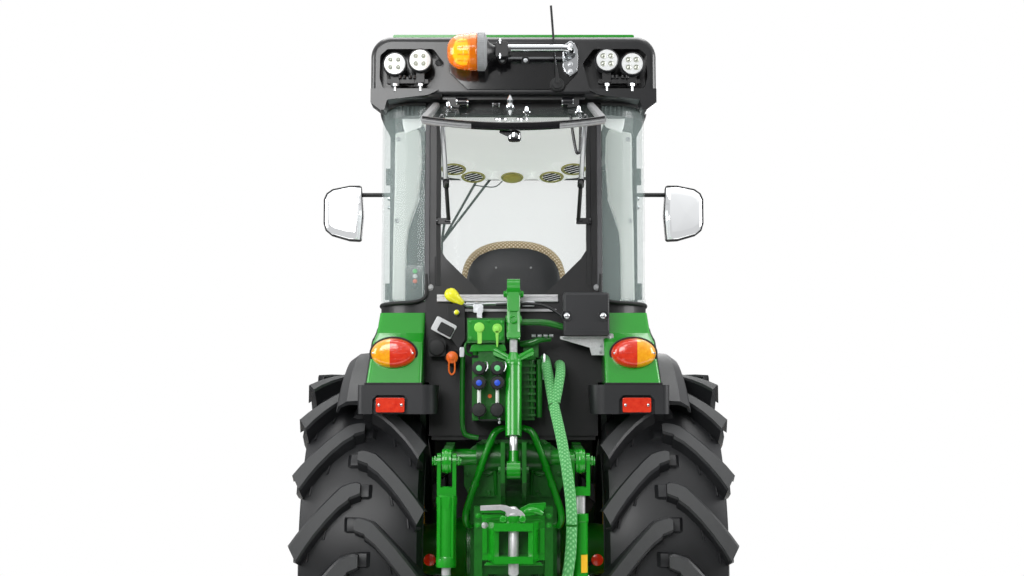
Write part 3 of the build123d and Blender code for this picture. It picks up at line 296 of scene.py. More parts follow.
def tyre_shape(radius, half, bead, lugs, lug_height, bar):
    """Carcass, bars and channel ribs of one tyre about the X axis. bar is the width of a bar's top."""
    shape = ([], [])
    crown = radius - lug_height
    steps = lugs * 8

    def at(s, t, r):
        """A point s across, t along the tread (towards the bars' noses), r from the axle."""
        a = t / radius
        return Vector((s, r * sin(a), r * cos(a)))

    def crown_at(s):
        """How far the tread lies from the axle; it falls away towards the shoulders."""
        return crown - 0.045 * radius * (abs(s) / half) ** 3.2

    side_wall = [(0.70, bead), (0.76, bead + 0.02), (0.84, bead + 0.035), (0.90, bead + 0.05),
                 (0.97, bead + 0.095), (0.995, bead + 0.135), (0.985, bead + 0.175), (0.965, bead + 0.2)]
    outer = [(f * half, r) for f, r in side_wall if r < crown_at(half)]
    outer += [(f * half, crown_at(f * half)) for f in (0.93, 0.8, 0.6, 0.4, 0.2, 0.0)]
    profile = [(-s, r) for s, r in outer] + [(s, r) for s, r in reversed(outer[:-1])]
    turn = 2 * pi * radius / steps
    grid(shape, [[at(s, k * turn, r) for k in range(steps)] for s, r in profile], closed=True)
    # thin rings moulded on the sidewall
    for side in (-1, 1):
        for f, r in ((0.905, bead + 0.052), (0.985, bead + 0.115)):
            ring = [(f * half - 0.002, r - 0.004), (f * half + 0.0035, r - 0.002),
                    (f * half + 0.0035, r + 0.002), (f * half - 0.002, r + 0.004)]
            grid(shape, [[at(side * s, k * turn, q) for k in range(steps)] for s, q in ring], closed=True)

    pitch = 2 * pi * radius / lugs
    lead = 0.36 * pitch
    trail = 0.68  # how far a bar's outer end lies behind its nose, as a share of the stations' runs
    stations = [(-0.035, 0.0, 0.78), (0.03, -0.001, 0.98), (0.13, -0.010, 1.06), (0.2, -0.024, 1.0),
                (0.34, -0.062, 0.9), (0.52, -0.122, 0.88), (0.72, -0.196, 0.92), (0.88, -0.262, 0.98),
                (1.0, -0.318, 1.04)]
    scale = radius / 0.65
    for k in range(2 * lugs):
        side = 1 if k % 2 else -1
        base = k * pitch / 2 + lead
        rows = []
        for f, t, wide in stations:
            s, run = f * half, base + t * scale * trail
            top = radius - 0.012 * radius * max(f, 0) ** 2.5
            foot = crown_at(s) - 0.008
            w = bar * wide / 2
            flare = (top - foot) * 0.22
            slope = 0.5 if f > 0.15 else 0.0  # the bar's sides lie across its own direction
            rows.append([at(side * (s + o * slope), run + o, r) for o, r in
                         ((-w - flare, foot), (-w - 0.003, top - 0.007), (-w + 0.004, top), (w - 0.004, top),
                          (w + 0.003, top - 0.007), (w + flare * 0.8, foot))])
        # the bar's outer end runs down the sidewall
        end_run = base + stations[-1][1] * scale * trail
        for drop, f, wide in ((0.03, 1.0, 1.1), (0.075, 0.995, 1.0), (0.115, 0.975, 0.6)):
            w = bar * wide / 2
            s = f * half
            low = radius - lug_height * 0.3 - drop * scale
            rows.append([at(side * (s - 0.02), end_run - w - 0.012, low - 0.01),
                         at(side * s, end_run - w, low), at(side * s, end_run - w + 0.003, low),
                         at(side * s, end_run + w - 0.003, low), at(side * s, end_run + w, low),
                         at(side * (s - 0.02), end_run + w + 0.012, low - 0.01)])
        start = len(shape[0])
        grid(shape, rows)
        cap(shape, 6, start=start)
        cap(shape, 6)
        # a low rib across the channel behind the bar, and a rounded stub beside its nose
        for f0, f1, t0, t1 in ((0.44, 0.54, -0.070, -0.165), (0.74, 0.80, -0.140, -0.245)):
            a, b = (f0 * half, base + t0 * scale), (f1 * half, base + t1 * scale)
            ridge = []
            for s, run in (a, b):
                low = crown_at(s) - 0.002
                ridge.append([at(side * (s - 0.006), run, low), at(side * (s - 0.0015), run, low + 0.007),
                              at(side * (s + 0.0015), run, low + 0.007), at(side * (s + 0.006), run, low)])
            grid(shape, ridge)
        stub = []
        for d, h in ((-0.03, 0.0), (-0.022, 0.016), (0.0, 0.02), (0.022, 0.015), (0.03, 0.0)):
            run = base + (-0.115 + d) * scale
            low = crown_at(0.1 * half) - 0.004
            stub.append([at(side * (0.09 * half - 0.028), run, low),
                         at(side * (0.09 * half - 0.014), run, low + h),
                         at(side * (0.09 * half + 0.014), run, low + h),
                         at(side * (0.09 * half + 0.028), run, low)])
        grid(shape, stub)
    return shape


# the flanks and channels of a tyre: dark, with dusty patches
tyre_rubber = finish("moulded_tyre_rubber", "#121314", "#26272A", patch=0.09, roughness=0.44, bump=0.18,
                     grain=0.0018, detail=5.0)
# the tops of the bars: lighter grey and matt
bar_top_rubber = finish("matt_bar_rubber", "#343536", "#454647", patch=0.03, roughness=0.62, bump=0.2,
                     grain=0.0015, detail=5.0)
for end, bead_r, lugs, lug_height, bar in (("rear", 0.356, 17, 0.046, 0.050),
                                           ("front", 0.254, 16, 0.034, 0.035)):
    low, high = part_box(f"{end}_tyre_right")
    middle = joint[f"{end}_right_spin"]
    half = (high.x - low.x) / 2
    for side, name in ((1, "right"), (-1, "left")):
        shape = tyre_shape(middle.z, half, bead_r, lugs, lug_height, bar)
        centre = Vector((side * middle.x, middle.y, middle.z))
        turned_tyre = ([centre + Vector((side * v.x, v.y, v.z)) for v in shape[0]], shape[1])
        tyre = piece(f"{end}_tyre_tread_{name}", turned_tyre, tyre_rubber, f"{end}_wheel_{name}", angle=32)
        tyre.data.materials.append(bar_top_rubber)
        for face in tyre.data.polygons:
            out = face.center - centre
            out.x = 0
            if out.length > middle.z * 0.978 and face.normal.dot(out.normalized()) > 0.9:
                face.material_index = 1
        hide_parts(f"{end}_tyre_{name}")


# ---- Roof and its fittings -----------------------------------------------------------------------
# The roof is a moulded dark body with a painted cap. Each rear corner holds two round LED work lamps.
# An amber beacon stands out on a chrome tube, and a whip antenna on a rubber foot. Bolts hold them all.


def spot(x, y, z):
    """A point in metres, whose y is measured from the rear axle."""
    return Vector((x, AXLE.y + y, z))


def spots(*points, side=1):
    """Several such points; side -1 mirrors them to the left."""
    return [spot(side * x, y, z) for x, y, z in points]


def skin(shape, rows):
    """A closed skin round rows of points, with a face over each end."""
    start = len(shape[0])
    grid(shape, rows, closed=True)
    cap(shape, len(rows[0]), start=start)
    cap(shape, len(rows[0]))
    return shape


def spokes(count, u, v, first=0.0):
    """Directions spread evenly round the plane of u and v; first turns them by a share of one step."""
    for k in range(count):
        a = 2 * pi * (k + first) / count
        yield u * cos(a) + v * sin(a)


def lathe(shape, origin, axis, profile, steps=32):
    """A turned form about an axis; the profile holds (distance along the axis, radius) pairs."""
    axis = Vector(axis).normalized()
    u = axis.orthogonal().normalized()
    v = axis.cross(u)
    turn = list(spokes(steps, u, v))
    return skin(shape, [[origin + axis * a + way * max(r, 1e-5) for way in turn] for a, r in profile])


def curve_through(points, per=8):
    """Points of a smooth line through the given ones."""
    points = [Vector(p) for p in points]
    padded = [2 * points[0] - points[1], *points, 2 * points[-1] - points[-2]]
    line = []
    for a, b, c, d in zip(padded, padded[1:], padded[2:], padded[3:]):
        for k in range(per):
            t = k / per
            line.append(0.5 * (2 * b + (c - a) * t + (2 * a - 5 * b + 4 * c - d) * t * t
                               + (3 * b - a - 3 * c + d) * t ** 3))
    return line + [points[-1]]


def pipe(shape, points, radius, steps=12, per=8):
    """A round tube along a smooth line through the points; radius may be one value or one for each sample."""
    line = curve_through(points, per) if per else [Vector(p) for p in points]
    radii = radius if isinstance(radius, (list, tuple)) else [radius] * len(line)
    way = (line[1] - line[0]).normalized()
    side = way.orthogonal().normalized()
    rows = []
    for k, point in enumerate(line):
        ahead = (line[min(k + 1, len(line) - 1)] - line[max(k - 1, 0)]).normalized()
        side = (side - ahead * side.dot(ahead)).normalized()
        rows.append([point + way * radii[k] for way in spokes(steps, side, ahead.cross(side))])
    return skin(shape, rows)


def rod(shape, ends, radius, steps=8):
    """A pipe that runs straight from point to point, without the smooth line through them."""
    return pipe(shape, ends, radius, steps=steps, per=0)


def slab(shape, points, origin, u, v, depth):
    """A plate: an outline along u and v from the origin, given thickness by the vector depth."""
    u, v, depth = Vector(u), Vector(v), Vector(depth)
    ring = [origin + u * a + v * b for a, b in points]
    return skin(shape, [ring, [p + depth for p in ring]])


def plate(shape, points, origin, thick, side=1):
    """A slab across the tractor, its outline in (x, z); side -1 mirrors it, and thick runs forward."""
    return slab(shape, [(side * x, z) for x, z in points], origin, OUT, UP, (0, thick, 0))


def rounded(width, height, radius, steps=5):
    """The outline of a rectangle with round corners, about its middle."""
    points = []
    for sx, sy, first in ((1, 1, 0), (-1, 1, 90), (-1, -1, 180), (1, -1, 270)):
        for k in range(steps + 1):
            a = radians(first + 90 * k / steps)
            points.append((sx * (width / 2 - radius) + radius * cos(a),
                           sy * (height / 2 - radius) + radius * sin(a)))
    return points


def bolt(shape, origin, axis, size=0.008):
    """A washer and a hexagon head of the given half width, on a surface at the origin."""
    lathe(shape, origin, axis, [(-0.002, size * 1.5), (size * 0.25, size * 1.5)], steps=16)
    lathe(shape, origin, axis, [(0, size * 1.1), (size * 0.95, size * 1.1), (size * 1.15, size * 0.85)],
          steps=6)
    return shape


# clear polycarbonate over a pale lamp body: white under a sharp highlight
white_lens = finish("clear_polycarbonate_lens", "#F4F6F6", patch=0.1, roughness=0.12, coat=0.8)
# metallised reflectors: small bright cups
led_cell = finish("led_cell_reflector", "#B9BDB2", "#D9DCCF", patch=0.01, roughness=0.2, metallic=0.6)
# chrome plating: a near mirror
chrome = finish("chrome_plated_steel", "#E4E7EA", patch=0.2, roughness=0.08, metallic=1.0)
# clear acrylic: a strong orange through which the core shows, with a faint painted glow
amber_dome = finish("amber_acrylic", "#F57A00", "#FF9512", patch=0.05, roughness=0.08, coat=0.9,
                    glow=("#FF8200", 0.1), **{"Alpha": 0.66})
# the middle of the beacon: a yellow glow, painted light that stands for the bright spot seen through the dome
amber_core = finish("painted_glow_amber_core", "#FFE14A", patch=0.1, roughness=0.3, glow=("#FFDE20", 1.5))
# the reflector below the core: dark orange
amber_inner = finish("dark_amber_reflector", "#A83A04", "#C64E06", patch=0.02, roughness=0.25)
# glass-filled nylon: light grey and matt
grey_ridged = finish("grey_ridged_nylon", "#8A8C8E", "#A4A6A8", patch=0.02, roughness=0.5)
# a polished panel: black, with clear reflections
gloss_black = finish("gloss_black_panel", "#0B0B0D", "#141416", patch=0.3, roughness=0.12, coat=0.6)
BACK, UP, OUT = Vector((0, -1, 0)), Vector((0, 0, 1)), Vector((1, 0, 0))  # OUT points to the right

dress(["work_lamps"], black_coat)
dress(["roof_brackets"], chrome)
lenses, cells, rims, brackets, bolts = (([], []) for _ in range(5))
for side in (-1, 1):
    for x, z in ((0.413, 2.364), (0.325, 2.377)):
        middle = spot(side * x, -0.445, z)
        lathe(lenses, middle, BACK, [(0, 0.0375), (0.0025, 0.0365), (0.0035, 0.02), (0.0038, 0)])
        lathe(rims, middle, BACK,
              [(-0.012, 0.0405), (-0.001, 0.042), (0.004, 0.0405), (0.0035, 0.0375), (0, 0.037)])
        for fin in range(3):
            lathe(rims, middle - BACK * (0.012 + 0.006 * fin), BACK, [(0, 0.043), (0.0025, 0.043)])
        for du in (-0.0135, 0.0135):
            for dv in (-0.0135, 0.0135):
                place = middle + OUT * du + UP * dv + BACK * 0.0032
                lathe(cells, place, BACK, [(0, 0.0098), (0.0014, 0.0098), (0.0014, 0.0078), (0.0004, 0.006),
                                           (0.002, 0.0025), (0.0024, 0)], steps=16)
        lathe(bolts, spot(side * x, -0.430, 2.287), UP,
              [(-0.016, 0.004), (0.0, 0.004), (0.001, 0.009), (0.011, 0.009)], steps=6)
        plate(brackets, rounded(0.03, 0.05, 0.006), spot(side * x, -0.432, z - 0.052), 0.012)
    plate(brackets, rounded(0.145, 0.016, 0.004), spot(side * 0.369, -0.428, 2.306), 0.02)
    plate(brackets, rounded(0.05, 0.024, 0.005), spot(side * 0.37, -0.43, 2.31), 0.03)
    for x in (0.345, 0.36, 0.38, 0.395):
        lathe(brackets, spot(side * x, -0.436, 2.314), UP, [(0, 0.006), (0.012, 0.006)], steps=10)
    lathe(rims, spot(side * 0.265, -0.351, 2.391), BACK,
          [(0, 0.013), (0.003, 0.012), (0.003, 0.008), (0.001, 0.007)])
piece("work_lamp_lenses", lenses, white_lens, angle=50)
piece("work_lamp_cells", cells, led_cell, angle=50)
piece("work_lamp_rims", rims, dark_moulding, angle=40)
piece("work_lamp_brackets", brackets, black_coat, bevel=0.001)

# the glossy panel in the middle of the rear face, with its two recessed screws
panel = [(-0.161, 2.279), (0.171, 2.279), (0.2235, 2.338), (0.2235, 2.435), (-0.2235, 2.435),
         (-0.2235, 2.338)]
slab_panel = plate(([], []), panel, spot(0, -0.4135, 0), -0.004)
piece("roof_service_panel", slab_panel, gloss_black, bevel=0.003)
cups = ([], [])
for x in (-0.039, 0.042):
    lathe(cups, spot(x, -0.4175, 2.383), BACK, [(0, 0.014), (0.002, 0.014), (0.002, 0.011), (0.0005, 0.010)])
    bolt(bolts, spot(x, -0.4178, 2.383), BACK, 0.005)
piece("roof_panel_cups", cups, rubber)

# beacon: ridged base, amber dome with moulded ribs and a core that glows as painted light, cone and clamp
hub = spot(-0.092, -0.503, 2.391)
LEFT = Vector((-1, 0, 0))
dome, core, base, clamp = (([], []) for _ in range(4))
lathe(dome, hub, LEFT,
      [(0.030, 0.060), (0.036, 0.0645), (0.058, 0.0645), (0.060, 0.062), (0.078, 0.0615), (0.08, 0.060),
       (0.098, 0.058), (0.112, 0.052), (0.126, 0.040), (0.134, 0.025), (0.1365, 0)], steps=64)
for way in spokes(16, UP, BACK):
    rod(dome, [hub + LEFT * 0.06 + way * 0.0605, hub + LEFT * 0.098 + way * 0.0575], 0.0016, steps=6)
lathe(core, hub, LEFT, [(0.062, 0.02), (0.068, 0.044), (0.09, 0.046), (0.108, 0.036), (0.122, 0)], steps=32)
reflector = lathe(([], []), hub, LEFT,
                  [(0.026, 0.052), (0.03, 0.055), (0.056, 0.055), (0.06, 0.03), (0.064, 0.0)])
lathe(base, hub, LEFT, [(-0.002, 0.045), (0.004, 0.06), (0.008, 0.0645), (0.030, 0.0645), (0.032, 0.060)],
      steps=48)
for way in spokes(48, UP, BACK):
    rod(base, [hub + LEFT * 0.006 + way * 0.064, hub + LEFT * 0.031 + way * 0.064], 0.0014, steps=5)
lathe(clamp, hub, -LEFT, [(0.0, 0.044), (0.012, 0.03), (0.036, 0.017), (0.05, 0.016), (0.052, 0.019),
                          (0.082, 0.019), (0.083, 0.014)], steps=32)
plate(clamp, rounded(0.026, 0.05, 0.007), hub + OUT * 0.054 + UP * 0.004 + Vector((0, 0.022, 0)), -0.044)
plate(clamp, rounded(0.043, 0.053, 0.009), spot(-0.040, -0.5265, 2.395), 0.048)
plate(clamp, rounded(0.012, 0.066, 0.004), hub + OUT * 0.062 + Vector((0, 0.008, 0.006)), -0.012)
for x, z in ((0.046, -0.022), (0.046, 0.03)):
    lathe(bolts, hub + OUT * x + UP * z + BACK * 0.02, BACK, [(0, 0.0065), (0.01, 0.0065), (0.014, 0.004)],
          steps=6)
    plate(bolts, rounded(0.005, 0.02, 0.0024), hub + OUT * x + UP * z + BACK * 0.03, -0.003)
amber_piece = piece("beacon_dome", dome, amber_dome, angle=30)
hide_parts("beacon")
piece("beacon_core", core, amber_core)
piece("beacon_reflector", reflector, amber_inner)
piece("beacon_base", base, grey_ridged, angle=30)
piece("beacon_clamp", clamp, black_coat, bevel=0.0012)

# chrome flange with three bolts, and the antenna on its ribbed rubber foot
flange = ([], [])
half = [(0.0, 0.062), (0.016, 0.052), (0.0265, 0.03), (0.0265, -0.03), (0.014, -0.054), (0.0, -0.063)]
plate(flange, half + [(-x, z) for x, z in reversed(half[1:-1])], spot(0.1985, -0.424, 2.387), -0.006)
lathe(flange, spot(0.197, -0.43, 2.404), BACK, [(0, 0.021), (0.006, 0.019), (0.012, 0.0155), (0.02, 0.0145)])
piece("beacon_flange", flange, chrome, bevel=0.0015)
for z in (2.432, 2.366, 2.340):
    bolt(bolts, spot(0.1985, -0.430, z), BACK, 0.0062)
foot = ([], [])
lathe(foot, spot(0.152, -0.434, 2.2935), BACK,
      [(-0.012, 0.025), (0.002, 0.025), (0.005, 0.022), (0.006, 0.018), (0.0105, 0.016), (0.012, 0.0)])
pipe(foot, spots((0.1515, -0.442, 2.297), (0.1505, -0.444, 2.33), (0.146, -0.444, 2.36)),
     [0.0085 - 0.0003 * k for k in range(17)])
rod(foot, spots((0.1515, -0.428, 2.30), (0.131, -0.434, 2.5733)), 0.0039)
piece("antenna_foot", foot, rubber)
piece("roof_bolts", bolts, zinc_plate, bevel=0.0006)


# ---- Rear window and its stays -------------------------------------------------------------------
# The rear window is held open by two gas springs. Its curved pane has a ribbed black frame, whose free edge
# is painted grey on its outer thirds as a painted reflection, a latch in the middle, and two round hinge
# bosses under the roof.
drop = radians(16.0)  # how far the open pane hangs below level
PANE_HINGE = (-0.349, 2.245)
PANE_HALF, PANE_SAG = 0.276, 0.020  # half its width, and how far its middle lies below its sides
pane_way, pane_up = Vector((0, -cos(drop), -sin(drop))), Vector((0, -sin(drop), cos(drop)))
# a satin moulding: silky mid grey; on the outer thirds of the window's free edge this grey is a painted
# reflection
satin_grey = finish("grey_moulding_and_painted_reflection", "#8E8F91", "#B9BABB", patch=0.02, roughness=0.35, coat=0.3)
# smooth trim: black, with brighter highlights than the powder coat
gloss_trim = finish("gloss_black_trim", "#131315", "#222226", patch=0.05, roughness=0.22, coat=0.5)
# darker glass seen against the light: a thin grey veil
pane_glass = finish("dark_tinted_glass", "#5C6A68", "#66756F", patch=0.5, roughness=0.04,
                    **{"Alpha": 0.12, "Specular IOR Level": 0.12})
dress(["rear_window"], pane_glass)


def on_pane(x, along, lift=0.0):
    """A point on the rear window: x across, along from the hinge to the free edge, lift above the pane."""
    sag = PANE_SAG * (1 - (x / PANE_HALF) ** 2)
    return spot(x, *PANE_HINGE) + pane_way * along + pane_up * (lift - sag)


frame_bars, edge_mid, edge_ends_painted_reflection, window_metal, window_black, springs = (([], []) for _ in range(6))
section = [(0.262, 0.006), (0.280, 0.006), (0.283, -0.004), (0.280, -0.015), (0.262, -0.015), (0.259, -0.004)]
for side in (-1, 1):
    skin(frame_bars, [[on_pane(side * x, 0.02 + 0.0675 * k, h) for x, h in section] for k in range(11)])
section = [(-0.004, 0.0045), (0.020, 0.0045), (0.0245, 0.0015), (0.023, 0.000), (0.0255, -0.0015),
           (0.0255, -0.0065), (0.0235, -0.0075), (0.026, -0.0090), (0.026, -0.0130), (0.021, -0.0165),
           (-0.004, -0.0165)]
# the free edge: black in the middle, and grey on its outer thirds as a painted reflection of the bright
# surroundings
for shape, low, high in ((edge_ends_painted_reflection, -0.2765, -0.128), (edge_mid, -0.128, 0.140), (edge_ends_painted_reflection, 0.140, 0.2765)):
    rows = [[on_pane(low + (high - low) * k / 12, 0.697 + a, h) for a, h in section] for k in range(13)]
    skin(shape, rows)
piece("rear_window_side_bars", frame_bars, satin_grey, bevel=0.0015)
piece("rear_window_edge_middle", edge_mid, gloss_trim, angle=30)
# the grey of the end thirds is a painted reflection
piece("rear_window_edge_ends", edge_ends_painted_reflection, satin_grey, angle=30)
# latch under the free edge, with its lever to the left
latch = on_pane(0.003, 0.690, -0.022)
lathe(window_black, latch, -UP, [(0, 0.018), (0.004, 0.0195), (0.026, 0.0195), (0.030, 0.017), (0.031, 0)])
lathe(window_metal, latch, -UP, [(0.006, 0.0200), (0.012, 0.0208), (0.020, 0.0208), (0.024, 0.0200)])
plate(window_black, [(-0.046, -0.004), (-0.012, -0.020), (0.0, -0.020), (0.0, 0.004), (-0.044, 0.004)], latch,
      -0.012)
# hinge bosses, the wiper's spindle and the small fittings on the pane
for x, along, r in ((-0.180, 0.035, 0.020), (0.190, 0.035, 0.020), (-0.061, 0.05, 0.012)):
    lathe(window_black, on_pane(x, along, 0.018) - OUT * r, OUT,
          [(0, r * 0.6), (0.004, r * 0.8), (r * 2 - 0.004, r * 0.8), (r * 2, r * 0.6)], steps=16)
    for dx in (-1, 1):
        lathe(window_metal, on_pane(x + dx * r, along, 0.018), OUT * dx,
              [(-0.003, r * 0.85), (0.001, r * 0.85), (0.002, r * 0.6)], steps=16)
lathe(window_metal, on_pane(-0.012, 0.22, -0.006), pane_up,
      [(0, 0.006), (0.014, 0.010), (0.024, 0.0145), (0.034, 0.0145), (0.042, 0.008), (0.052, 0.011),
       (0.060, 0.007), (0.07, 0.0)])
for x, along in ((-0.226, 0.10), (0.215, 0.34), (0.045, 0.16)):
    lathe(window_metal, on_pane(x, along, 0.0), pane_up,
          [(0, 0.016), (0.003, 0.016), (0.006, 0.008), (0.018, 0.006), (0.022, 0.0)], steps=20)
for x in (-0.040, 0.028):
    lathe(window_metal, on_pane(x, 0.50, 0.001), pane_up, [(0, 0.021), (0.004, 0.020), (0.005, 0.0)],
          steps=28)
# gas springs: a thin rod up from the ball on the post, then a wider cylinder with black ends
for side in (-1, 1):
    foot = spot(side * 0.228, -0.347, 1.826)
    top = spot(side * 0.238, -0.650, 2.1375)
    way = (top - foot).normalized()
    span = (top - foot).length
    mid = foot + way * span * 0.36
    lathe(window_black, foot + OUT * side * 0.004, OUT * side,
          [(-0.012, 0.010), (0.006, 0.010), (0.012, 0.006), (0.03, 0.006), (0.034, 0.013), (0.04, 0.013)],
          steps=16)
    lathe(window_black, mid, way, [(-0.012, 0.0085), (-0.008, 0.0115), (0.026, 0.0115), (0.030, 0.009)],
          steps=20)
    lathe(springs, mid + way * 0.03, way,
          [(0.0, 0.0086), (span * 0.64 - 0.05, 0.0086), (span * 0.64 - 0.046, 0.006)], steps=20)
    lathe(window_black, top - way * 0.016, way, [(0, 0.010), (0.014, 0.010), (0.020, 0.005)], steps=16)
# a dark cable looped from the rail down beside the right-hand spring
pipe(window_black,
     spots((0.200, -0.36, 2.225), (0.206, -0.36, 2.16), (0.219, -0.37, 2.075), (0.228, -0.37, 2.064),
           (0.234, -0.37, 2.08), (0.236, -0.36, 2.16), (0.236, -0.36, 2.225)), 0.0055, steps=10)
piece("rear_window_metal", window_metal, chrome, angle=40)
piece("gas_springs", springs, zinc_plate, angle=40)
piece("rear_window_black", window_black, gloss_trim, angle=40)


# ---- Cab frame, seals and trim -------------------------------------------------------------------
# Welded black posts carry extruded rubber seals that hold the curved quarter panes. Pale moulded trim covers
# the posts inside, and a bare aluminium channel runs across the sill below the two gussets.

# extruded rubber, paler than the black posts: its grey is a painted highlight along the seal
seal_highlight_grey = finish("extruded_rubber_seal_painted_highlight", "#4C4C4F", "#5C5C5F", patch=0.02, roughness=0.5, bump=0.2,
                   grain=0.002)
# moulded trim: a quiet pale grey; the glow stands for daylight inside the cab
pale_trim = finish("pale_grey_moulded_trim", "#C9CDC8", "#D6DAD5", patch=0.15, roughness=0.5, bump=0.1,
                   grain=0.001, glow=("#CDD1CC", 0.12))
# mill-finish aluminium: pale, with a soft sheen
bare_aluminium = finish("bright_aluminium_section", "#C2C1C4", "#DAD9DC", patch=0.05, roughness=0.34,
                        metallic=0.35)
SILL_BACK = -0.336  # the rear face of the sill and the gussets
seals, lips, posts, trim, dark_trim, trim_screws, brackets_white = (([], []) for _ in range(7))
for side in (-1, 1):
    # seal strips up the rear post: one on its outer edge, grey as a painted highlight, and one by the opening
    for strips, x, wide in ((seals, 0.3025, 0.0085), (lips, 0.2635, 0.008)):
        outline = [(-wide, 0), (wide, 0), (wide * 0.8, -0.008), (-wide * 0.8, -0.008)]
        rows = [[spot(side * x, -0.335, z) + OUT * a + Vector((0, b, 0)) for a, b in outline]
                for z in (1.60, 1.8, 2.0, 2.19)]
        skin(strips, rows)
    # the lip under the quarter glass, which turns up beside the post
    track = spots((0.3045, -0.338, 1.64), (0.304, -0.340, 1.585), (0.312, -0.342, 1.556),
                  (0.340, -0.342, 1.543), (0.380, -0.335, 1.539), (0.430, -0.305, 1.5385),
                  (0.465, -0.24, 1.5385), (0.482, -0.14, 1.5385), (0.486, 0.0, 1.5385),
                  (0.486, 0.128, 1.5385), side=side)
    pipe(lips, track, 0.0065, steps=10, per=5)
    # the dark band along the top of the quarter glass
    track = spots((0.310, -0.340, 2.247), (0.36, -0.342, 2.247), (0.42, -0.325, 2.246),
                  (0.462, -0.255, 2.245), (0.480, -0.15, 2.244), (0.484, 0.1, 2.244), side=side)
    pipe(lips, track, 0.009, steps=10, per=5)
    # pale trim on the post inside the quarter glass, swept narrower towards its foot
    face = [(0.427, 2.161), (0.345, 2.176), (0.336, 2.150), (0.333, 2.064), (0.336, 1.99), (0.345, 1.915),
            (0.366, 1.855), (0.379, 1.805), (0.385, 1.744), (0.386, 1.552), (0.434, 1.552), (0.432, 1.80),
            (0.428, 1.95)]
    plate(trim, face, spot(0, -0.245, 0), 0.05, side)
    for x, z in ((0.414, 2.136), (0.419, 1.840)):
        lathe(trim_screws, spot(side * x, -0.2455, z), BACK,
              [(0, 0.009), (0.002, 0.009), (0.003, 0.007), (0.001, 0.004)], steps=20)
    face = [(0.402, 2.219), (0.322, 2.226), (0.322, 2.198), (0.334, 2.178), (0.389, 2.157), (0.397, 2.178)]
    plate(brackets_white, face, spot(0, -0.262, 0), 0.012, side)
    # dark moulding behind the pale sweep, down the inner side of the post
    face = [(0.335, 2.03), (0.341, 1.921), (0.364, 1.855), (0.379, 1.805), (0.386, 1.744), (0.386, 1.555),
            (0.318, 1.555), (0.318, 2.03)]
    plate(dark_trim, face, spot(0, -0.215, 0), 0.03, side)
    # gusset plate with its folded edge and bolt
    plate(posts, ((0.272, 1.729), (0.272, 1.567), (0.108, 1.567)), spot(0, SILL_BACK, 0), -0.004, side)
    bolt(trim_screws, spot(side * 0.292, SILL_BACK, 1.593), BACK, 0.0075)
    rod(posts, spots((0.2735, -0.3365, 1.70), (0.272, -0.3365, 1.60), side=side), 0.0035)
piece("post_seals", seals, seal_highlight_grey, bevel=0.0012)
piece("quarter_glass_lips", lips, rubber, angle=60)
piece("post_dark_trim", dark_trim, dark_moulding, bevel=0.006)
piece("post_trim", trim, pale_trim, bevel=0.008)
piece("post_trim_brackets", brackets_white, headliner_felt, bevel=0.004)
piece("post_screws", trim_screws, satin_grey)
piece("post_folds", posts, black_coat)
# bright channel across the sill, below the gussets
channel = ([], [])
profile = [(0, -0.0125), (-0.010, -0.0125), (-0.0125, -0.009), (-0.0125, -0.002), (-0.009, 0.0),
           (-0.009, 0.004), (-0.0125, 0.006), (-0.0125, 0.0105), (-0.010, 0.0135), (0, 0.0135)]
rows = [[spot(x, SILL_BACK, 1.5535) + Vector((0, a, b)) for a, b in profile]
        for x in (-0.268, -0.13, 0.0, 0.13, 0.155)]
skin(channel, rows)
plate(channel, rounded(0.32, 0.009, 0.003), spot(-0.01, -0.340, 1.512), -0.006)
piece("sill_channel", channel, bare_aluminium, angle=30)
# the button panel on the left fender, with four round buttons of satin plastic in plain colours
button_plate = plate(([], []), [(x - 0.353, z + 1.609) for x, z in rounded(0.062, 0.135, 0.014)],
                     spot(0, -0.292, 0), 0.012)
piece("fender_button_panel", button_plate, gloss_black, bevel=0.002)
for k, (z, colour) in enumerate(((1.654, "#2FCB4B"), (1.636, "#E8ECEA"), (1.618, "#F0581C"),
                                 (1.600, "#151515"))):
    button = lathe(([], []), spot(-0.3485, -0.292, z), BACK,
                   [(0, 0.0085), (0.003, 0.0085), (0.006, 0.0065), (0.0065, 0)], steps=24)
    piece(f"fender_button_{k + 1}", button,
          finish(f"button_plastic_{k + 1}", colour, patch=0.1, roughness=0.35))


# ---- Headliner, wiper and mirrors ----------------------------------------------------------------
# The pale moulded headliner holds a row of olive-rimmed round air vents and a lamp. Outside the windscreen
# hangs a two-arm wiper with its washer hose. The mirrors are convex silvered glass in thin dark shells.

# moulded rims: a muted olive beside the felt
olive_rim = finish("olive_moulded_rim", "#B5AE66", "#CBC583", patch=0.03, roughness=0.45)
# an unlit diffuser: warm cream
lamp_diffuser = finish("cream_lamp_diffuser", "#C8BC58", "#D8CD70", patch=0.03, roughness=0.4)
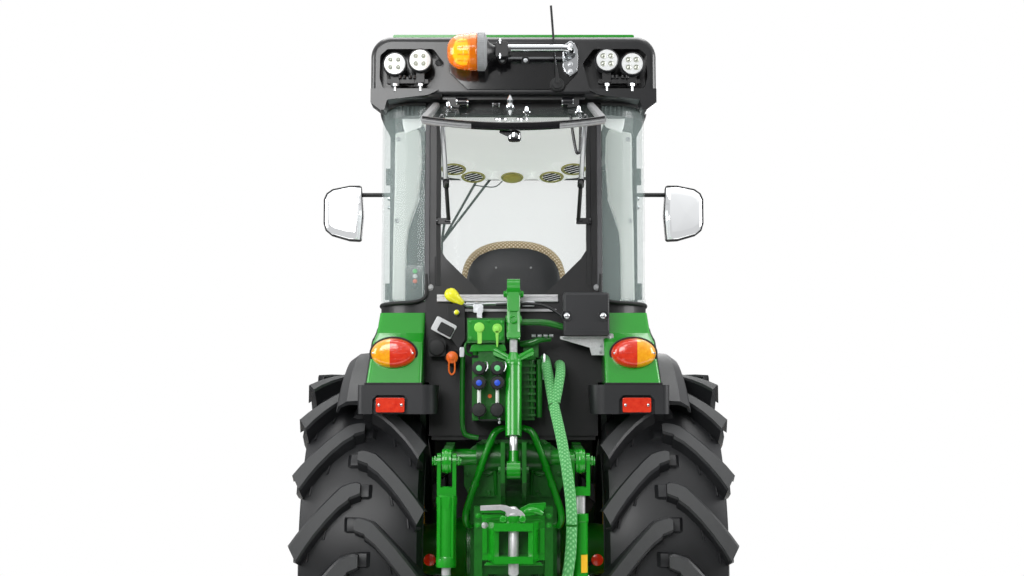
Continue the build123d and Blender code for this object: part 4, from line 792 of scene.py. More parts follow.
# silvered glass: nearly white, since it shows the bright surroundings; its glow is a painted reflection of
# them
mirror_glass = finish("silvered_mirror_glass", "#F2F4F5", patch=0.3, roughness=0.03, metallic=1.0,
                      glow=("#F4F6F8", 0.6))
collars, rings, slats, diffuser, arms, mirror, mirror_rim = (([], []) for _ in range(7))
MIRROR_ARM_Y = 1.152  # the mirrors' arms, ahead of the axle
TILT = Vector((0, -0.30, -0.954)).normalized()  # the vents look down and a little back
for x, y, z in ((-0.181, 0.985, 2.213), (0.172, 0.985, 2.213), (0.262, 0.80, 2.217), (-0.262, 0.80, 2.217)):
    hub = spot(x, y, z - 0.010)
    lathe(collars, hub, TILT, [(-0.024, 0.092), (-0.010, 0.078), (0.001, 0.057)], steps=40)
    lathe(rings, hub, TILT, [(-0.012, 0.054), (0.0, 0.056), (0.005, 0.052), (0.004, 0.042), (-0.01, 0.040)],
          steps=40)
    across = TILT.cross(OUT).normalized()
    for k in (-1.5, -0.5, 0.5, 1.5):
        reach = sqrt(0.040 ** 2 - (k * 0.018) ** 2)
        slant = (OUT * 0.86 + across * 0.5).normalized()
        beside = TILT.cross(slant).normalized()
        middle = hub + beside * k * 0.018
        rod(slats, [middle - slant * reach, middle + slant * reach], 0.0052, steps=6)
hub = spot(-0.006, 0.985, 2.201)
lathe(collars, hub, TILT, [(-0.024, 0.088), (-0.010, 0.074), (0.001, 0.053)], steps=40)
lathe(rings, hub, TILT, [(-0.012, 0.050), (0.0, 0.052), (0.006, 0.048), (0.005, 0.040)], steps=40)
lathe(diffuser, hub, TILT, [(0.0, 0.042), (0.010, 0.038), (0.014, 0.026), (0.016, 0.0)], steps=40)
# the front edge of the lining turns down in front of the dark header
lining = [(1.046, 2.222), (1.058, 2.218), (1.064, 2.206), (1.072, 2.204), (1.076, 2.222), (1.070, 2.236),
          (1.046, 2.236)]
rows = [[spot(x, y, z + 0.012 * (x / 0.33) ** 4) for y, z in lining]
        for x in (-0.33, -0.26, -0.13, 0, 0.13, 0.26, 0.33)]
skin(collars, rows)
piece("vent_collars", collars, headliner_felt, angle=70)
piece("vent_rings", rings, olive_rim, angle=50)
piece("vent_slats", slats, rubber)
piece("cab_lamp_diffuser", diffuser, lamp_diffuser, angle=60)
# the two arms hang from the spindle above the screen and carry the blade on the left
for top_x, low_x, low_z in ((-0.160, -0.330, 1.924), (-0.099, -0.3305, 1.922)):
    rod(arms, spots((top_x, 1.135, 2.227), (low_x, 1.135, low_z)), 0.0058)
rod(arms, spots((-0.316, 1.132, 2.03), (-0.330, 1.132, 1.925), (-0.333, 1.132, 1.70)), 0.006)
pipe(arms, spots((-0.183, 1.13, 2.188), (-0.13, 1.13, 2.181), (-0.079, 1.13, 2.183), (-0.034, 1.13, 2.227)),
     0.0026, steps=6)
piece("windscreen_wiper", arms, rubber)
outline = [(0.705, 2.176), (0.755, 2.179), (0.832, 2.164), (0.858, 2.146), (0.869, 2.118), (0.869, 2.012),
           (0.860, 1.981), (0.837, 1.961), (0.757, 1.938), (0.707, 1.935), (0.698, 2.048)]
for side in (-1, 1):
    glass = [(side * x, z) for x, z in outline]
    cx, cz = sum(x for x, _ in glass) / len(glass), sum(z for _, z in glass) / len(glass)
    rows = [[spot(cx + (x - cx) * f, 1.1312 - d, cz + (z - cz) * f) for x, z in glass]
            for f, d in ((1.0, 0.0), (0.97, 0.0022), (0.7, 0.004), (0.35, 0.005), (0.05, 0.0055))]
    grid(mirror, rows, closed=True)
    cap(mirror, len(glass))
    band = [[spot(cx + (x - cx) * f, y, cz + (z - cz) * f) for x, z in glass]
            for f, y in ((1.03, 1.140), (1.045, 1.130), (1.03, 1.1275), (1.0, 1.130))]
    grid(mirror_rim, band, closed=True)
    rod(mirror_rim, spots((0.40, MIRROR_ARM_Y, 2.145), (0.705, MIRROR_ARM_Y, 2.145), side=side), 0.0098,
        steps=14)
    lathe(mirror_rim, spot(side * 0.395, MIRROR_ARM_Y, 2.115), UP, [(0, 0.016), (0.06, 0.016)], steps=18)
piece("mirror_glass", mirror, mirror_glass, angle=80)
piece("mirror_rims_and_arms", mirror_rim, rubber, angle=40)


# ---- Driver's place ------------------------------------------------------------------------------
# The seat has a black moulded shell behind and a woven tan cloth cover whose rolled edge shows all round.
# The cushion and the back are foam under the same cloth, stitched along their edges.


def cloth(name, dark, light, scale):
    """A woven cover of two threads that cross diagonally; a scale of 40 puts them about 11 mm apart."""
    material = bpy.data.materials.new(name)
    material.use_nodes = True
    tree = material.node_tree
    shader = tree.nodes["Principled BSDF"]
    place = add_node(tree, "ShaderNodeTexCoord")
    weave = [add_node(tree, "ShaderNodeTexWave", {"wave_type": "BANDS", "bands_direction": "DIAGONAL"},
                      {"Vector": (add_node(tree, "ShaderNodeMapping",
                                           {}, {"Vector": (place, "Object"), "Rotation": turn}), 0),
                       "Scale": scale, "Distortion": 0.6, "Detail": 1.0})
             for turn in ((0, 0.0, 0), (0, radians(90), 0))]
    cross = add_node(tree, "ShaderNodeMath", {"operation": "MULTIPLY"},
                     {0: (weave[0], "Fac"), 1: (weave[1], "Fac")})
    threads = add_node(tree, "ShaderNodeMix", {"data_type": "RGBA"},
                       {"Factor": (cross, 0), "A": linear(dark), "B": linear(light)})
    tree.links.new(threads.outputs["Result"], shader.inputs["Base Color"])
    shader.inputs["Roughness"].default_value = 0.85
    relief = add_node(tree, "ShaderNodeBump", {}, {"Height": (cross, 0), "Strength": 0.5, "Distance": 0.002})
    tree.links.new(relief.outputs["Normal"], shader.inputs["Normal"])
    return material


# coarser than the real weave, so that it shows: warm tan threads with pale crossings
woven = cloth("woven_tan_cloth", "#A38E69", "#FBEFD6", 40.0)
half = [(0.0, 1.808), (0.062, 1.805), (0.106, 1.794), (0.146, 1.775), (0.175, 1.747), (0.193, 1.712),
        (0.201, 1.669), (0.205, 1.612), (0.204, 1.545), (0.200, 1.460), (0.190, 1.394), (0.150, 1.345),
        (0.0, 1.338)]
ring = half + [(-x, z) for x, z in reversed(half[1:-1])]
back_pad, back_shell = ([], []), ([], [])
rows = []
for f, y in ((0.0, 0.052), (0.86, 0.052), (0.93, 0.051), (0.985, 0.062), (1.0, 0.088), (0.995, 0.13),
             (0.96, 0.160), (0.80, 0.168), (0.55, 0.160), (0.05, 0.156)):
    rows.append([spot(x * max(f, 0.02), y, 1.60 + (z - 1.60) * max(f, 0.02)) for x, z in ring])
skin(back_pad, rows)
rows = []
for f, y in ((0.885, 0.054), (0.88, 0.044), (0.82, 0.036), (0.5, 0.033), (0.03, 0.032)):
    rows.append([spot(x * f, y, 1.575 + (z - 1.575) * f * 0.972) for x, z in ring])
grid(back_shell, rows, closed=True)
cap(back_shell, len(ring))
cushion = ([], [])
rows = []
for f, z in ((0.90, 1.226), (0.97, 1.235), (1.0, 1.262), (1.0, 1.300), (0.96, 1.326), (0.86, 1.334),
             (0.4, 1.324), (0.02, 1.322)):
    rows.append([spot(f * x, 0.38 + f * y, z) for x, y in rounded(0.45, 0.46, 0.07, 6)])
skin(cushion, rows)
pads = piece("driver_back_pad", back_pad, woven, angle=60, subdivide=1)
bench = piece("driver_cushion", cushion, woven, angle=60, subdivide=1)
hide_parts("seat_cushions")
shell_screws = ([], [])
for side in (-1, 1):
    lathe(shell_screws, spot(side * 0.066, 0.037, 1.698), BACK,
          [(0, 0.004), (0.0055, 0.004), (0.0065, 0.002)], steps=16)
piece("driver_back_shell", back_shell, engine_paint, angle=50)
piece("driver_shell_screws", shell_screws, satin_grey)


# ---- Remote valves, sockets and controls ----------------------------------------------------------
# A cast green valve block carries six couplers with coloured dust caps and white stems between the rows. Its
# upper ports have lime rubber plugs on tails. The knob, sockets and caps left of it are moulded plastic.

# soft rubber: a bright lime
lime_plug = finish("lime_rubber_plug", "#86D94A", "#A4EE68", patch=0.02, roughness=0.45)
# polished moulding: a clear yellow with a sharp highlight
yellow_plastic = finish("yellow_moulded_knob", "#F6F012", "#FFFA3C", patch=0.05, roughness=0.3, coat=0.4)
# moulded caps and tags, each of one flat strong colour
orange_plastic = finish("orange_moulded_cap", "#F2661A", "#FF7E2A", patch=0.03, roughness=0.38)
white_plastic = finish("white_moulded_plastic", "#DDE6DC", "#F0F5EF", patch=0.03, roughness=0.4)
leaf_plastic = finish("leaf_green_marker", "#5FC878", "#74D88C", patch=0.02, roughness=0.4)
blue_plastic = finish("blue_marker", "#1C46C8", "#2B5BE0", patch=0.02, roughness=0.4)
# hot-dip zinc: a pale matt spangle
galvanised = finish("galvanised_sheet", "#B9BBBC", "#E0E2E3", patch=0.006, roughness=0.45, metallic=0.35,
                    bump=0.1, grain=0.004)
dress(["valve_box"], dark_moulding)
# the rear face of the valve block, and the plane of the lever with its knob
BLOCK_BACK, LEVER_Y = -0.480, -0.40
plugs, caps, stems, leaf_dots, blue_dots, block_parts, fittings = (([], []) for _ in range(7))
lathe(plugs, spot(-0.116, BLOCK_BACK, 1.444), BACK,
      [(0, 0.0175), (0.008, 0.0175), (0.011, 0.015), (0.012, 0)])
plate(plugs, [(-0.008, 0.0), (0.008, 0.0), (0.0085, -0.052), (0.004, -0.056), (-0.006, -0.055)],
      spot(-0.1155, -0.481, 1.444), -0.006)
lathe(plugs, spot(-0.055, BLOCK_BACK, 1.441), BACK,
      [(0, 0.0165), (0.006, 0.0165), (0.006, 0.009), (0.013, 0.009), (0.014, 0)])
plate(plugs, [(-0.007, 0.0), (0.007, 0.0), (0.005, -0.045), (0.0035, -0.064), (-0.0015, -0.064),
              (-0.003, -0.045)], spot(-0.056, -0.481, 1.441), -0.005)
# a machined cover on the block, with its edge bolts, and a cast shoulder over the couplers
plate(block_parts, [(-0.060, -0.036), (0.060, -0.036), (0.062, 0.020), (0.054, 0.034), (-0.062, 0.034)],
      spot(-0.0935, BLOCK_BACK, 1.436), -0.004)
for x, z in ((-0.145, 1.408), (-0.145, 1.462), (-0.042, 1.408), (-0.084, 1.466), (-0.038, 1.462)):
    bolt(block_parts, spot(x, -0.484, z), BACK, 0.0045)
for x in (-0.128, -0.097, -0.069, -0.038):
    lathe(block_parts, spot(x, -0.42, 1.352), UP, [(0, 0.012), (0.024, 0.012), (0.03, 0.008), (0.04, 0.008)],
          steps=12)
plate(block_parts, [(-0.065, -0.012), (0.060, -0.010), (0.054, 0.012), (-0.058, 0.012)],
      spot(-0.084, -0.452, 1.375), -0.016)
for x in (-0.115, -0.054):
    for z, dots in ((1.305, leaf_dots), (1.256, blue_dots), (1.166, None)):
        lathe(caps, spot(x, -0.5445, z), BACK,
              [(-0.02, 0.0235), (0.004, 0.0235), (0.009, 0.020), (0.010, 0.012), (0.011, 0)], steps=28)
        for way in spokes(10, UP, OUT):
            rod(caps, [spot(x, -0.530, z) + way * 0.0235, spot(x, -0.549, z) + way * 0.0235], 0.0022, steps=6)
        if dots:
            lathe(dots, spot(x, -0.555, z), BACK,
                  [(0, 0.0098), (0.0018, 0.0098), (0.0026, 0.007), (0.0028, 0)], steps=24)
    # the cap's strap loops back over the coupler
    pipe(fittings, spots((x + 0.014, -0.50, 1.322), (x + 0.026, -0.54, 1.325), (x + 0.028, -0.552, 1.306),
                         (x + 0.022, -0.552, 1.294)), 0.0022, steps=6)
    rod(stems, spots((x, -0.532, 1.236), (x, -0.532, 1.184)), 0.0066, steps=12)
pipe(caps, spots((-0.115, -0.53, 1.144), (-0.113, -0.53, 1.134), (-0.10, -0.53, 1.1315),
                 (-0.052, -0.53, 1.1315)), 0.0036, steps=8)
for z in (1.136, 1.124):
    lathe(fittings, spot(-0.047, -0.53, z), BACK, [(-0.012, 0.0062), (0.004, 0.0062), (0.006, 0.004)],
          steps=6)
lathe(caps, spot(-0.080, -0.4805, 1.212), BACK, [(0, 0.007), (0.002, 0.007)])
orange_dot = lathe(([], []), spot(-0.080, -0.4815, 1.212), BACK,
                   [(0, 0.0068), (0.002, 0.0068), (0.002, 0.0035), (0.0008, 0)], steps=20)
piece("valve_port_plugs", plugs, lime_plug, bevel=0.0016)
piece("valve_block_cover", block_parts, green_enamel, bevel=0.0012)
piece("coupler_caps", caps, rubber)
piece("coupler_stems", stems, white_plastic)
piece("coupler_markers_green", leaf_dots, leaf_plastic)
piece("coupler_markers_blue", blue_dots, blue_plastic)
piece("coupler_marker_orange", orange_dot, orange_plastic)

# corrugated hose housing and the pipes between the valve blocks, cast green like them
ribs = ([], [])
run = curve_through(spots((-0.03, -0.45, 1.462), (0.047, -0.45, 1.464), (0.11, -0.45, 1.462),
                          (0.172, -0.44, 1.448)), 14)
rod(ribs, run, [0.0105 + 0.0012 * (k % 2) for k in range(len(run))], steps=12)
plate(ribs, rounded(0.05, 0.075, 0.008), spot(0.0, -0.44, 1.447), -0.03)
pipe(ribs, spots((0.025, -0.43, 1.39), (0.06, -0.44, 1.394), (0.09, -0.44, 1.405), (0.125, -0.42, 1.41)),
     0.011)
pipe(ribs, spots((-0.155, -0.43, 1.40), (-0.165, -0.44, 1.385), (-0.162, -0.44, 1.36), (-0.145, -0.43, 1.35)),
     0.004)
for x, z, r in ((0.088, 1.338, 0.010), (0.062, 1.335, 0.008)):
    rod(ribs, spots((x, -0.43, z), (x, -0.43, 1.14)), r, steps=12)
pipe(ribs, spots((-0.175, -0.40, 1.36), (-0.176, -0.40, 1.15), (-0.17, -0.40, 1.09), (-0.15, -0.40, 1.075),
                 (-0.12, -0.40, 1.07)), 0.009)
piece("valve_hose_and_pipes", ribs, shaded_green_casting, angle=50)
lathe(fittings, spot(0.105, -0.44, 1.268), UP,
      [(0, 0.0075), (0.05, 0.0075), (0.054, 0.0045), (0.085, 0.0045), (0.09, 0.002)], steps=16)
for x in (0.062, 0.082, 0.102, 0.122):
    lathe(fittings, spot(x, -0.45, 1.4175), OUT, [(0, 0.0055), (0.014, 0.0055)], steps=6)
plate(fittings, rounded(0.016, 0.034, 0.004), spot(-0.176, -0.445, 1.362), -0.006)
# cable linkage along the sill: a clevis, a turnbuckle and the clamp above the block
rod(fittings, spots((-0.165, -0.39, 1.532), (-0.10, -0.39, 1.531), (0.0, -0.39, 1.533)), 0.0055)
lathe(fittings, spot(-0.135, -0.39, 1.531), OUT,
      [(0, 0.009), (0.012, 0.009), (0.014, 0.0065), (0.03, 0.0065)], steps=6)
plate(fittings, rounded(0.034, 0.03, 0.004), spot(-0.122, -0.386, 1.515), -0.012)
plate(fittings, rounded(0.018, 0.042, 0.004), spot(-0.116, -0.45, 1.492), -0.008)
plate(fittings, rounded(0.042, 0.018, 0.003), spot(0.052, -0.385, 1.531), -0.010)
piece("linkage_fittings", fittings, zinc_plate, bevel=0.0008)
cable = ([], [])
pipe(cable, spots((-0.06, -0.40, 1.527), (0.0, -0.40, 1.529), (0.06, -0.40, 1.531), (0.11, -0.41, 1.522),
                  (0.155, -0.42, 1.496), (0.18, -0.43, 1.47)), 0.0052, steps=10)
piece("sill_control_cable", cable, dark_moulding)
# yellow teardrop knob on its lever, and the button below it
knob = ([], [])
shaft = [spot(x, LEVER_Y, z)
         for x, z in ((-0.2335, 1.5775), (-0.228, 1.5725), (-0.220, 1.566), (-0.210, 1.558), (-0.199, 1.549),
                      (-0.188, 1.540), (-0.177, 1.5325), (-0.173, 1.530))]
rod(knob, shaft, [0.006, 0.018, 0.0235, 0.0225, 0.0185, 0.0135, 0.0105, 0.007], steps=20)
lathe(knob, spot(-0.196, -0.418, 1.500), BACK, [(0, 0.008), (0.006, 0.008), (0.008, 0.006), (0.0085, 0)],
      steps=20)
piece("draft_knob_and_button", knob, yellow_plastic, angle=60)
rods, housings, plates, orange = (([], []) for _ in range(4))
rod(rods, spots((-0.175, -0.40, 1.531), (-0.162, -0.395, 1.524), (-0.135, -0.39, 1.522)), 0.0055, steps=10)
lathe(rods, spot(-0.196, -0.404, 1.500), BACK, [(0, 0.0095), (0.009, 0.0095), (0.010, 0.0085)], steps=20)
piece("control_lever_rods", rods, zinc_plate)
plate(housings, [(-0.030, 0.050), (0.014, 0.056), (0.030, 0.044), (0.034, -0.070), (0.010, -0.105),
                 (-0.022, -0.060)], spot(-0.199, -0.385, 1.478), -0.022)
for x, z, r in ((-0.264, 1.379, 0.027), (-0.211, 1.345, 0.0225)):
    lathe(housings, spot(x, -0.400, z), BACK,
          [(-0.05, r + 0.004), (0, r + 0.004), (0.004, r), (0.014, r), (0.016, r * 0.7)], steps=28)
plate(housings, rounded(0.062, 0.062, 0.012), spot(-0.264, -0.385, 1.379), -0.018)
for dx, dz in ((-0.024, -0.024), (0.024, -0.024), (-0.024, 0.024), (0.024, 0.024)):
    bolt(rods, spot(-0.264 + dx, -0.404, 1.379 + dz), BACK, 0.003)
turn = radians(-28)
u, v = Vector((cos(turn), 0, sin(turn))), Vector((-sin(turn), 0, cos(turn)))
slab(plates, rounded(0.078, 0.052, 0.006), spot(-0.240, -0.398, 1.448), u, v, (0, -0.010, 0))
slab(housings, rounded(0.052, 0.034, 0.005), spot(-0.240, -0.408, 1.448) + u * 0.009 - v * 0.003, u, v,
     (0, -0.012, 0))
bolt(rods, spot(-0.240, -0.408, 1.448) - u * 0.030 + v * 0.016, BACK, 0.0035)
lathe(orange, spot(-0.211, -0.416, 1.345), BACK,
      [(0, 0.0205), (0.006, 0.0205), (0.010, 0.016), (0.011, 0.008), (0.013, 0)], steps=28)
lathe(orange, spot(-0.211, -0.420, 1.345), BACK, [(0.004, 0.009), (0.013, 0.008), (0.015, 0)], steps=20)
loop = [(-0.0085, 0.0), (-0.010, -0.030), (-0.0085, -0.050), (0.0, -0.059), (0.009, -0.050), (0.0105, -0.030),
        (0.0095, 0.0)]
pipe(orange, [spot(-0.2115 + x, -0.424, 1.345 + z) for x, z in loop], 0.0032, steps=8)
piece("socket_housings", housings, rubber, bevel=0.0015)
piece("socket_plate", plates, galvanised, bevel=0.0015)
piece("trailer_socket_cap", orange, orange_plastic, angle=40)
# recessed screws of the dark sensor box and the galvanised bracket that carries it
wells, heads, bracket = ([], []), ([], []), ([], [])
for x in (0.182, 0.306):
    lathe(wells, spot(x, -0.4625, 1.485), BACK,
          [(-0.004, 0.0195), (0.0015, 0.0195), (0.002, 0.0175), (-0.004, 0.0135)], steps=28)
    lathe(heads, spot(x, -0.4600, 1.485), BACK, [(0, 0.0105), (0.004, 0.0098), (0.007, 0.006), (0.008, 0)],
          steps=20)
outline = [(0.160, 1.417), (0.160, 1.408), (0.262, 1.378), (0.268, 1.352), (0.322, 1.352), (0.324, 1.372),
           (0.345, 1.408), (0.343, 1.426), (0.322, 1.428), (0.318, 1.417)]
plate(bracket, outline, spot(0, -0.418, 0), 0.004)
plate(bracket, rounded(0.150, 0.004, 0.0015), spot(0.242, -0.440, 1.4145), 0.03)
for x, z in ((0.331, 1.412), (0.302, 1.384), (0.300, 1.364)):
    bolt(heads, spot(x, -0.418, z), BACK, 0.0042)
plate(wells, rounded(0.156, 0.018, 0.006), spot(0.2485, -0.4605, 1.427), -0.003)
piece("sensor_box_wells", wells, dark_moulding, bevel=0.0008)
piece("sensor_box_screws", heads, zinc_plate)
piece("sensor_box_bracket", bracket, galvanised, bevel=0.0008)


# ---- Tail lamps and bumpers -----------------------------------------------------------------------
# Each oval lamp has an amber outer part and a red inner part in one domed acrylic lens, screwed at its ends.
# The moulded bumpers below carry red prismatic reflectors in their arched recesses.

# acrylic with prisms about 7 mm across, which break the highlight into cells: amber, with a faint painted
# glow for light caught in them
amber_lens = finish("amber_prismatic_lens", "#E67C00", "#FFC62A", patch=0.012, roughness=0.12, coat=0.9,
                    bump=0.25, grain=0.007, glow=("#FF9A00", 0.1))
# the same prisms in red, with the same faint painted glow, which the red reflectors take too
red_lens = finish("red_prismatic_lens", "#C4160A", "#EE4A2A", patch=0.016, roughness=0.12, coat=0.9,
                  bump=0.25, grain=0.007, glow=("#E02008", 0.08))
dress(["tail_lamps"], rubber)
amber, red, gaskets, reflectors, screws, seams = (([], []) for _ in range(6))
LAMP_X, LAMP_Z, LONG, HIGH, SPLIT = 0.408, 1.357, 0.0765, 0.0515, 0.010
for side in (-1, 1):

    def on_lens(x, z):
        """A point of the domed lens; x is outward from its middle."""
        r = min(1.0, sqrt((x / LONG) ** 2 + (z / HIGH) ** 2))
        return spot(side * (LAMP_X + x), -0.470 - 0.030 * (1 - r ** 9) - 0.005 * (1 - r * r), LAMP_Z + z)

    edge = atan2(sqrt(1 - (SPLIT / LONG) ** 2), SPLIT / LONG)
    for shape, low, high in ((amber, -edge, edge), (red, edge, 2 * pi - edge)):
        turns = [low + (high - low) * k / 28 for k in range(29)]
        rim_points = [(LONG * cos(a), HIGH * sin(a)) for a in turns]
        rows = []
        for f in (0.0, 0.25, 0.5, 0.7, 0.84, 0.92, 0.97, 1.0):
            rows.append([on_lens(SPLIT + (x - SPLIT) * f, z) for x, z in rim_points])
        rows.append([spot(side * (LAMP_X + x), -0.450, LAMP_Z + z) for x, z in rim_points])
        grid(shape, rows)
    ring = [(1.035 * LONG * cos(2 * pi * k / 40), 1.05 * HIGH * sin(2 * pi * k / 40)) for k in range(41)]
    rod(gaskets, [spot(side * (LAMP_X + x), -0.4625, LAMP_Z + z) for x, z in ring], 0.0036)
    # inner ridges moulded along the red part
    for z in (-0.021, 0.0, 0.021):
        pipe(red, [on_lens(x, z) - BACK * 0.0006 for x in (-0.052, -0.035, -0.018, 0.0)], 0.0012, steps=6)
    for x in (-0.067, 0.067):
        lathe(screws, on_lens(x, 0.0) - BACK * 0.002, BACK, [(0, 0.0036), (0.003, 0.0036), (0.004, 0.002)],
              steps=12)
    plate(reflectors, rounded(0.096, 0.0485, 0.006), spot(side * 0.4125, -0.5275, 1.182), -0.004)
    for x in (-0.038, 0.038):
        lathe(screws, spot(side * 0.4125 + x, -0.531, 1.182), BACK,
              [(0, 0.0045), (0.002, 0.0045), (0.003, 0.002)], steps=16)
    # dark seam under the painted panel and up its outer side
    plate(seams, rounded(0.196, 0.0075, 0.003), spot(side * 0.4045, -0.497, 1.2535), -0.009)
    pipe(seams, spots((0.4981, -0.483, 1.254), (0.4931, -0.465, 1.3), (0.4876, -0.447, 1.35),
                      (0.4825, -0.429, 1.397), (0.4786, -0.4, 1.413), (0.4745, -0.369, 1.43),
                      (0.4721, -0.34, 1.447), (0.4719, -0.25, 1.455), side=side), 0.0042, steps=8)
    # round reflectors low down ahead of the tyres
    rod(seams, spots((0.258, -0.10, 0.60), (0.296, -0.15, 0.624), side=side), 0.008)
    lathe(reflectors, spot(side * 0.300, -0.160, 0.628), BACK,
          [(-0.004, 0.0215), (0.002, 0.0215), (0.004, 0.018), (0.0045, 0)])
piece("tail_lens_amber", amber, amber_lens, angle=60)
piece("tail_lens_red", red, red_lens, angle=60)
piece("tail_lamp_gaskets", gaskets, rubber)
piece("red_reflectors", reflectors, red_lens, bevel=0.001)
piece("lamp_screws", screws, zinc_plate)
piece("fender_seams", seams, rubber, bevel=0.0015)


# ---- Three-point linkage --------------------------------------------------------------------------
# Forged and welded arms in green enamel, joined by pins with spring clips. The top link is stowed upright,
# with its thread showing between the tube and the head. The lift rods are threaded steel in green bodies.

# bare steel: bright threads and ground pins
screw_steel = finish("bright_threaded_steel", "#C3C3C6", "#EDEDEE", patch=0.01, roughness=0.3, metallic=0.5)
dress(["top_link", "lift_arms", "trailer_coupler", "lift_pipes",
       *(f"{n}_{s}" for n in ("lift_rod", "lower_link") for s in sides)], green_enamel)
low_pin, high_pin = spot(0, -0.600, 0.970), spot(0, -0.435, 1.580)
stow = (high_pin - low_pin).normalized()
across = Vector((0, -stow.z, stow.y))  # square to the link, towards the rear
thread, head, wings = ([], []), ([], []), ([], [])
turns = [(0.400 + 0.0023 * k, 0.0136 if k % 2 else 0.0122) for k in range(21)]
lathe(thread, low_pin, stow, turns, steps=24)
lathe(thread, low_pin, stow, [(0.063, 0.0128), (0.112, 0.0128)], steps=24)
for side in (-1, 1):
    lathe(head, low_pin + stow * 0.520, OUT * side, [(0.020, 0.014), (0.026, 0.014), (0.028, 0.010)],
          steps=20)
    bolt(head, low_pin + stow * 0.612 + OUT * side * 0.022, OUT * side, 0.011)
lathe(head, low_pin + stow * 0.512 + across * 0.022, across,
      [(0, 0.015), (0.006, 0.015), (0.008, 0.011), (0.004, 0.009)], steps=24)
slab(head, rounded(0.040, 0.070, 0.008), low_pin + stow * 0.576 + across * 0.022, OUT, stow, across * 0.005)
slab(head, rounded(0.046, 0.022, 0.006), low_pin + stow * 0.458 + across * 0.020, OUT, stow, across * 0.006)
for side in (-1, 1):
    pipe(wings, [low_pin + stow * 0.380 + OUT * side * 0.012, low_pin + stow * 0.395 + OUT * side * 0.035,
                 low_pin + stow * 0.412 + OUT * side * 0.066], [0.010] * 8 + [0.009] * 8 + [0.0085], steps=10)
lathe(wings, low_pin, stow, [(0.352, 0.0275), (0.356, 0.0285), (0.368, 0.0285), (0.372, 0.026)], steps=32)
lathe(wings, low_pin, stow, [(0.112, 0.0255), (0.116, 0.0245), (0.130, 0.0272)], steps=32)
piece("top_link_thread", thread, screw_steel, "top_link", angle=30)
piece("top_link_head_details", head, green_enamel, "top_link", bevel=0.0015)
piece("top_link_handle", wings, green_enamel, "top_link", angle=45)
for side, name in ((-1, "left"), (1, "right")):
    x = side * 0.2175
    pins, details, silver = ([], []), ([], []), ([], [])
    at_arm = spot(x, -0.620, 1.000)
    for way in (-1, 1):
        lathe(pins, at_arm + OUT * way * 0.030, OUT * way,
              [(0, 0.0135), (0.010, 0.0135), (0.012, 0.009), (0.018, 0.009)], steps=20)
        lathe(pins, at_arm + OUT * way * 0.036, OUT * way, [(0, 0.0175), (0.005, 0.0175)], steps=6)
    ring = [at_arm + OUT * side * 0.046 + UP * 0.013 * sin(2 * pi * k / 12)
            + BACK * 0.013 * cos(2 * pi * k / 12) for k in range(13)]
    pipe(pins, ring, 0.0022, steps=6)
    piece(f"arm_pin_{name}", pins, green_enamel, "lift_arms", bevel=0.0008)
    # the arm's round end is a forged ball between the fork's cheeks
    lathe(details, at_arm, OUT, [(-0.0155, 0.026), (-0.012, 0.036), (-0.004, 0.0405), (0.004, 0.0405),
                                 (0.012, 0.036), (0.0155, 0.026)], steps=36)
    piece(f"arm_end_{name}", details, green_enamel, "lift_arms", angle=60)
    foot, top = spot(x, -0.637, 0.660), spot(x, -0.625, 0.890)
    way = (top - foot).normalized()
    parts = ([], [])
    neck = spot(x, -0.622, 0.906)
    lathe(parts, neck, -way, [(-0.012, 0.024), (0.0, 0.022), (0.012, 0.019), (0.016, 0.0165)], steps=24)
    if side < 0:
        lathe(silver, spot(x, -0.625, 0.889), way, [(-0.001, 0.0155), (0.012, 0.0155)], steps=20)
        lathe(silver, foot, -way, [(0.0, 0.0152), (0.026, 0.0152)], steps=20)
        lathe(parts, foot, way, [(0.0, 0.027), (0.004, 0.0335), (0.030, 0.0335), (0.034, 0.0325)], steps=32)
        lathe(parts, top, -way, [(0.0, 0.028), (0.005, 0.034), (0.024, 0.034), (0.032, 0.0325)], steps=32)
        for dx in (-0.021, 0.021):
            rod(parts, spots((x + dx, -0.654, 0.885), (x + dx, -0.657, 0.82), (x + dx, -0.664, 0.69)), 0.0042)
        plate(parts, [(-0.012, 0.0), (0.012, 0.0), (0.009, -0.034), (0.0, -0.044), (-0.009, -0.034)],
              spot(x, -0.654, 0.886), -0.007)
    else:
        lathe(silver, spot(x, -0.628, 0.832), way, [(0.0, 0.0158), (0.066, 0.0158)], steps=20)
        lathe(parts, spot(x, -0.628, 0.830), -way,
              [(-0.003, 0.018), (0.0, 0.0255), (0.022, 0.0262), (0.026, 0.0245)], steps=32)
        lathe(parts, spot(x, -0.6415, 0.562), way,
              [(-0.004, 0.020), (0.0, 0.0262), (0.020, 0.0262), (0.024, 0.0245)], steps=32)
        blank = [[spot(x + 0.0252 * sin(a), -0.6375 - 0.0252 * cos(a), z)
                  for a in (0.0, 0.25, 0.5, 0.75, 1.0)] for z in (0.645, 0.702)]
        label = ([], [])  # a bare patch of smooth yellow film
        grid(label, blank)
        film = finish("yellow_printed_film", "#F5B916", "#F8C42C", patch=0.05, roughness=0.4)
        piece("blank_yellow_label", label, film, "lift_rod_right")
    piece(f"lift_rod_steel_{name}", silver, screw_steel, f"lift_rod_{name}")
    piece(f"lift_rod_collars_{name}", parts, green_enamel, f"lift_rod_{name}", angle=40)
    # the rings of the lower link's ball bush
    bush = ([], [])
    at_ball = spot(x, -1.010, 0.385)
    for way in (-1, 1):
        lathe(bush, at_ball + OUT * way * 0.0215, OUT * way,
              [(0, 0.030), (0.001, 0.0325), (0.003, 0.0325), (0.004, 0.022), (0.002, 0.0160)], steps=32)
    piece(f"lower_link_ball_{name}", bush, screw_steel, f"lower_link_{name}", angle=40)


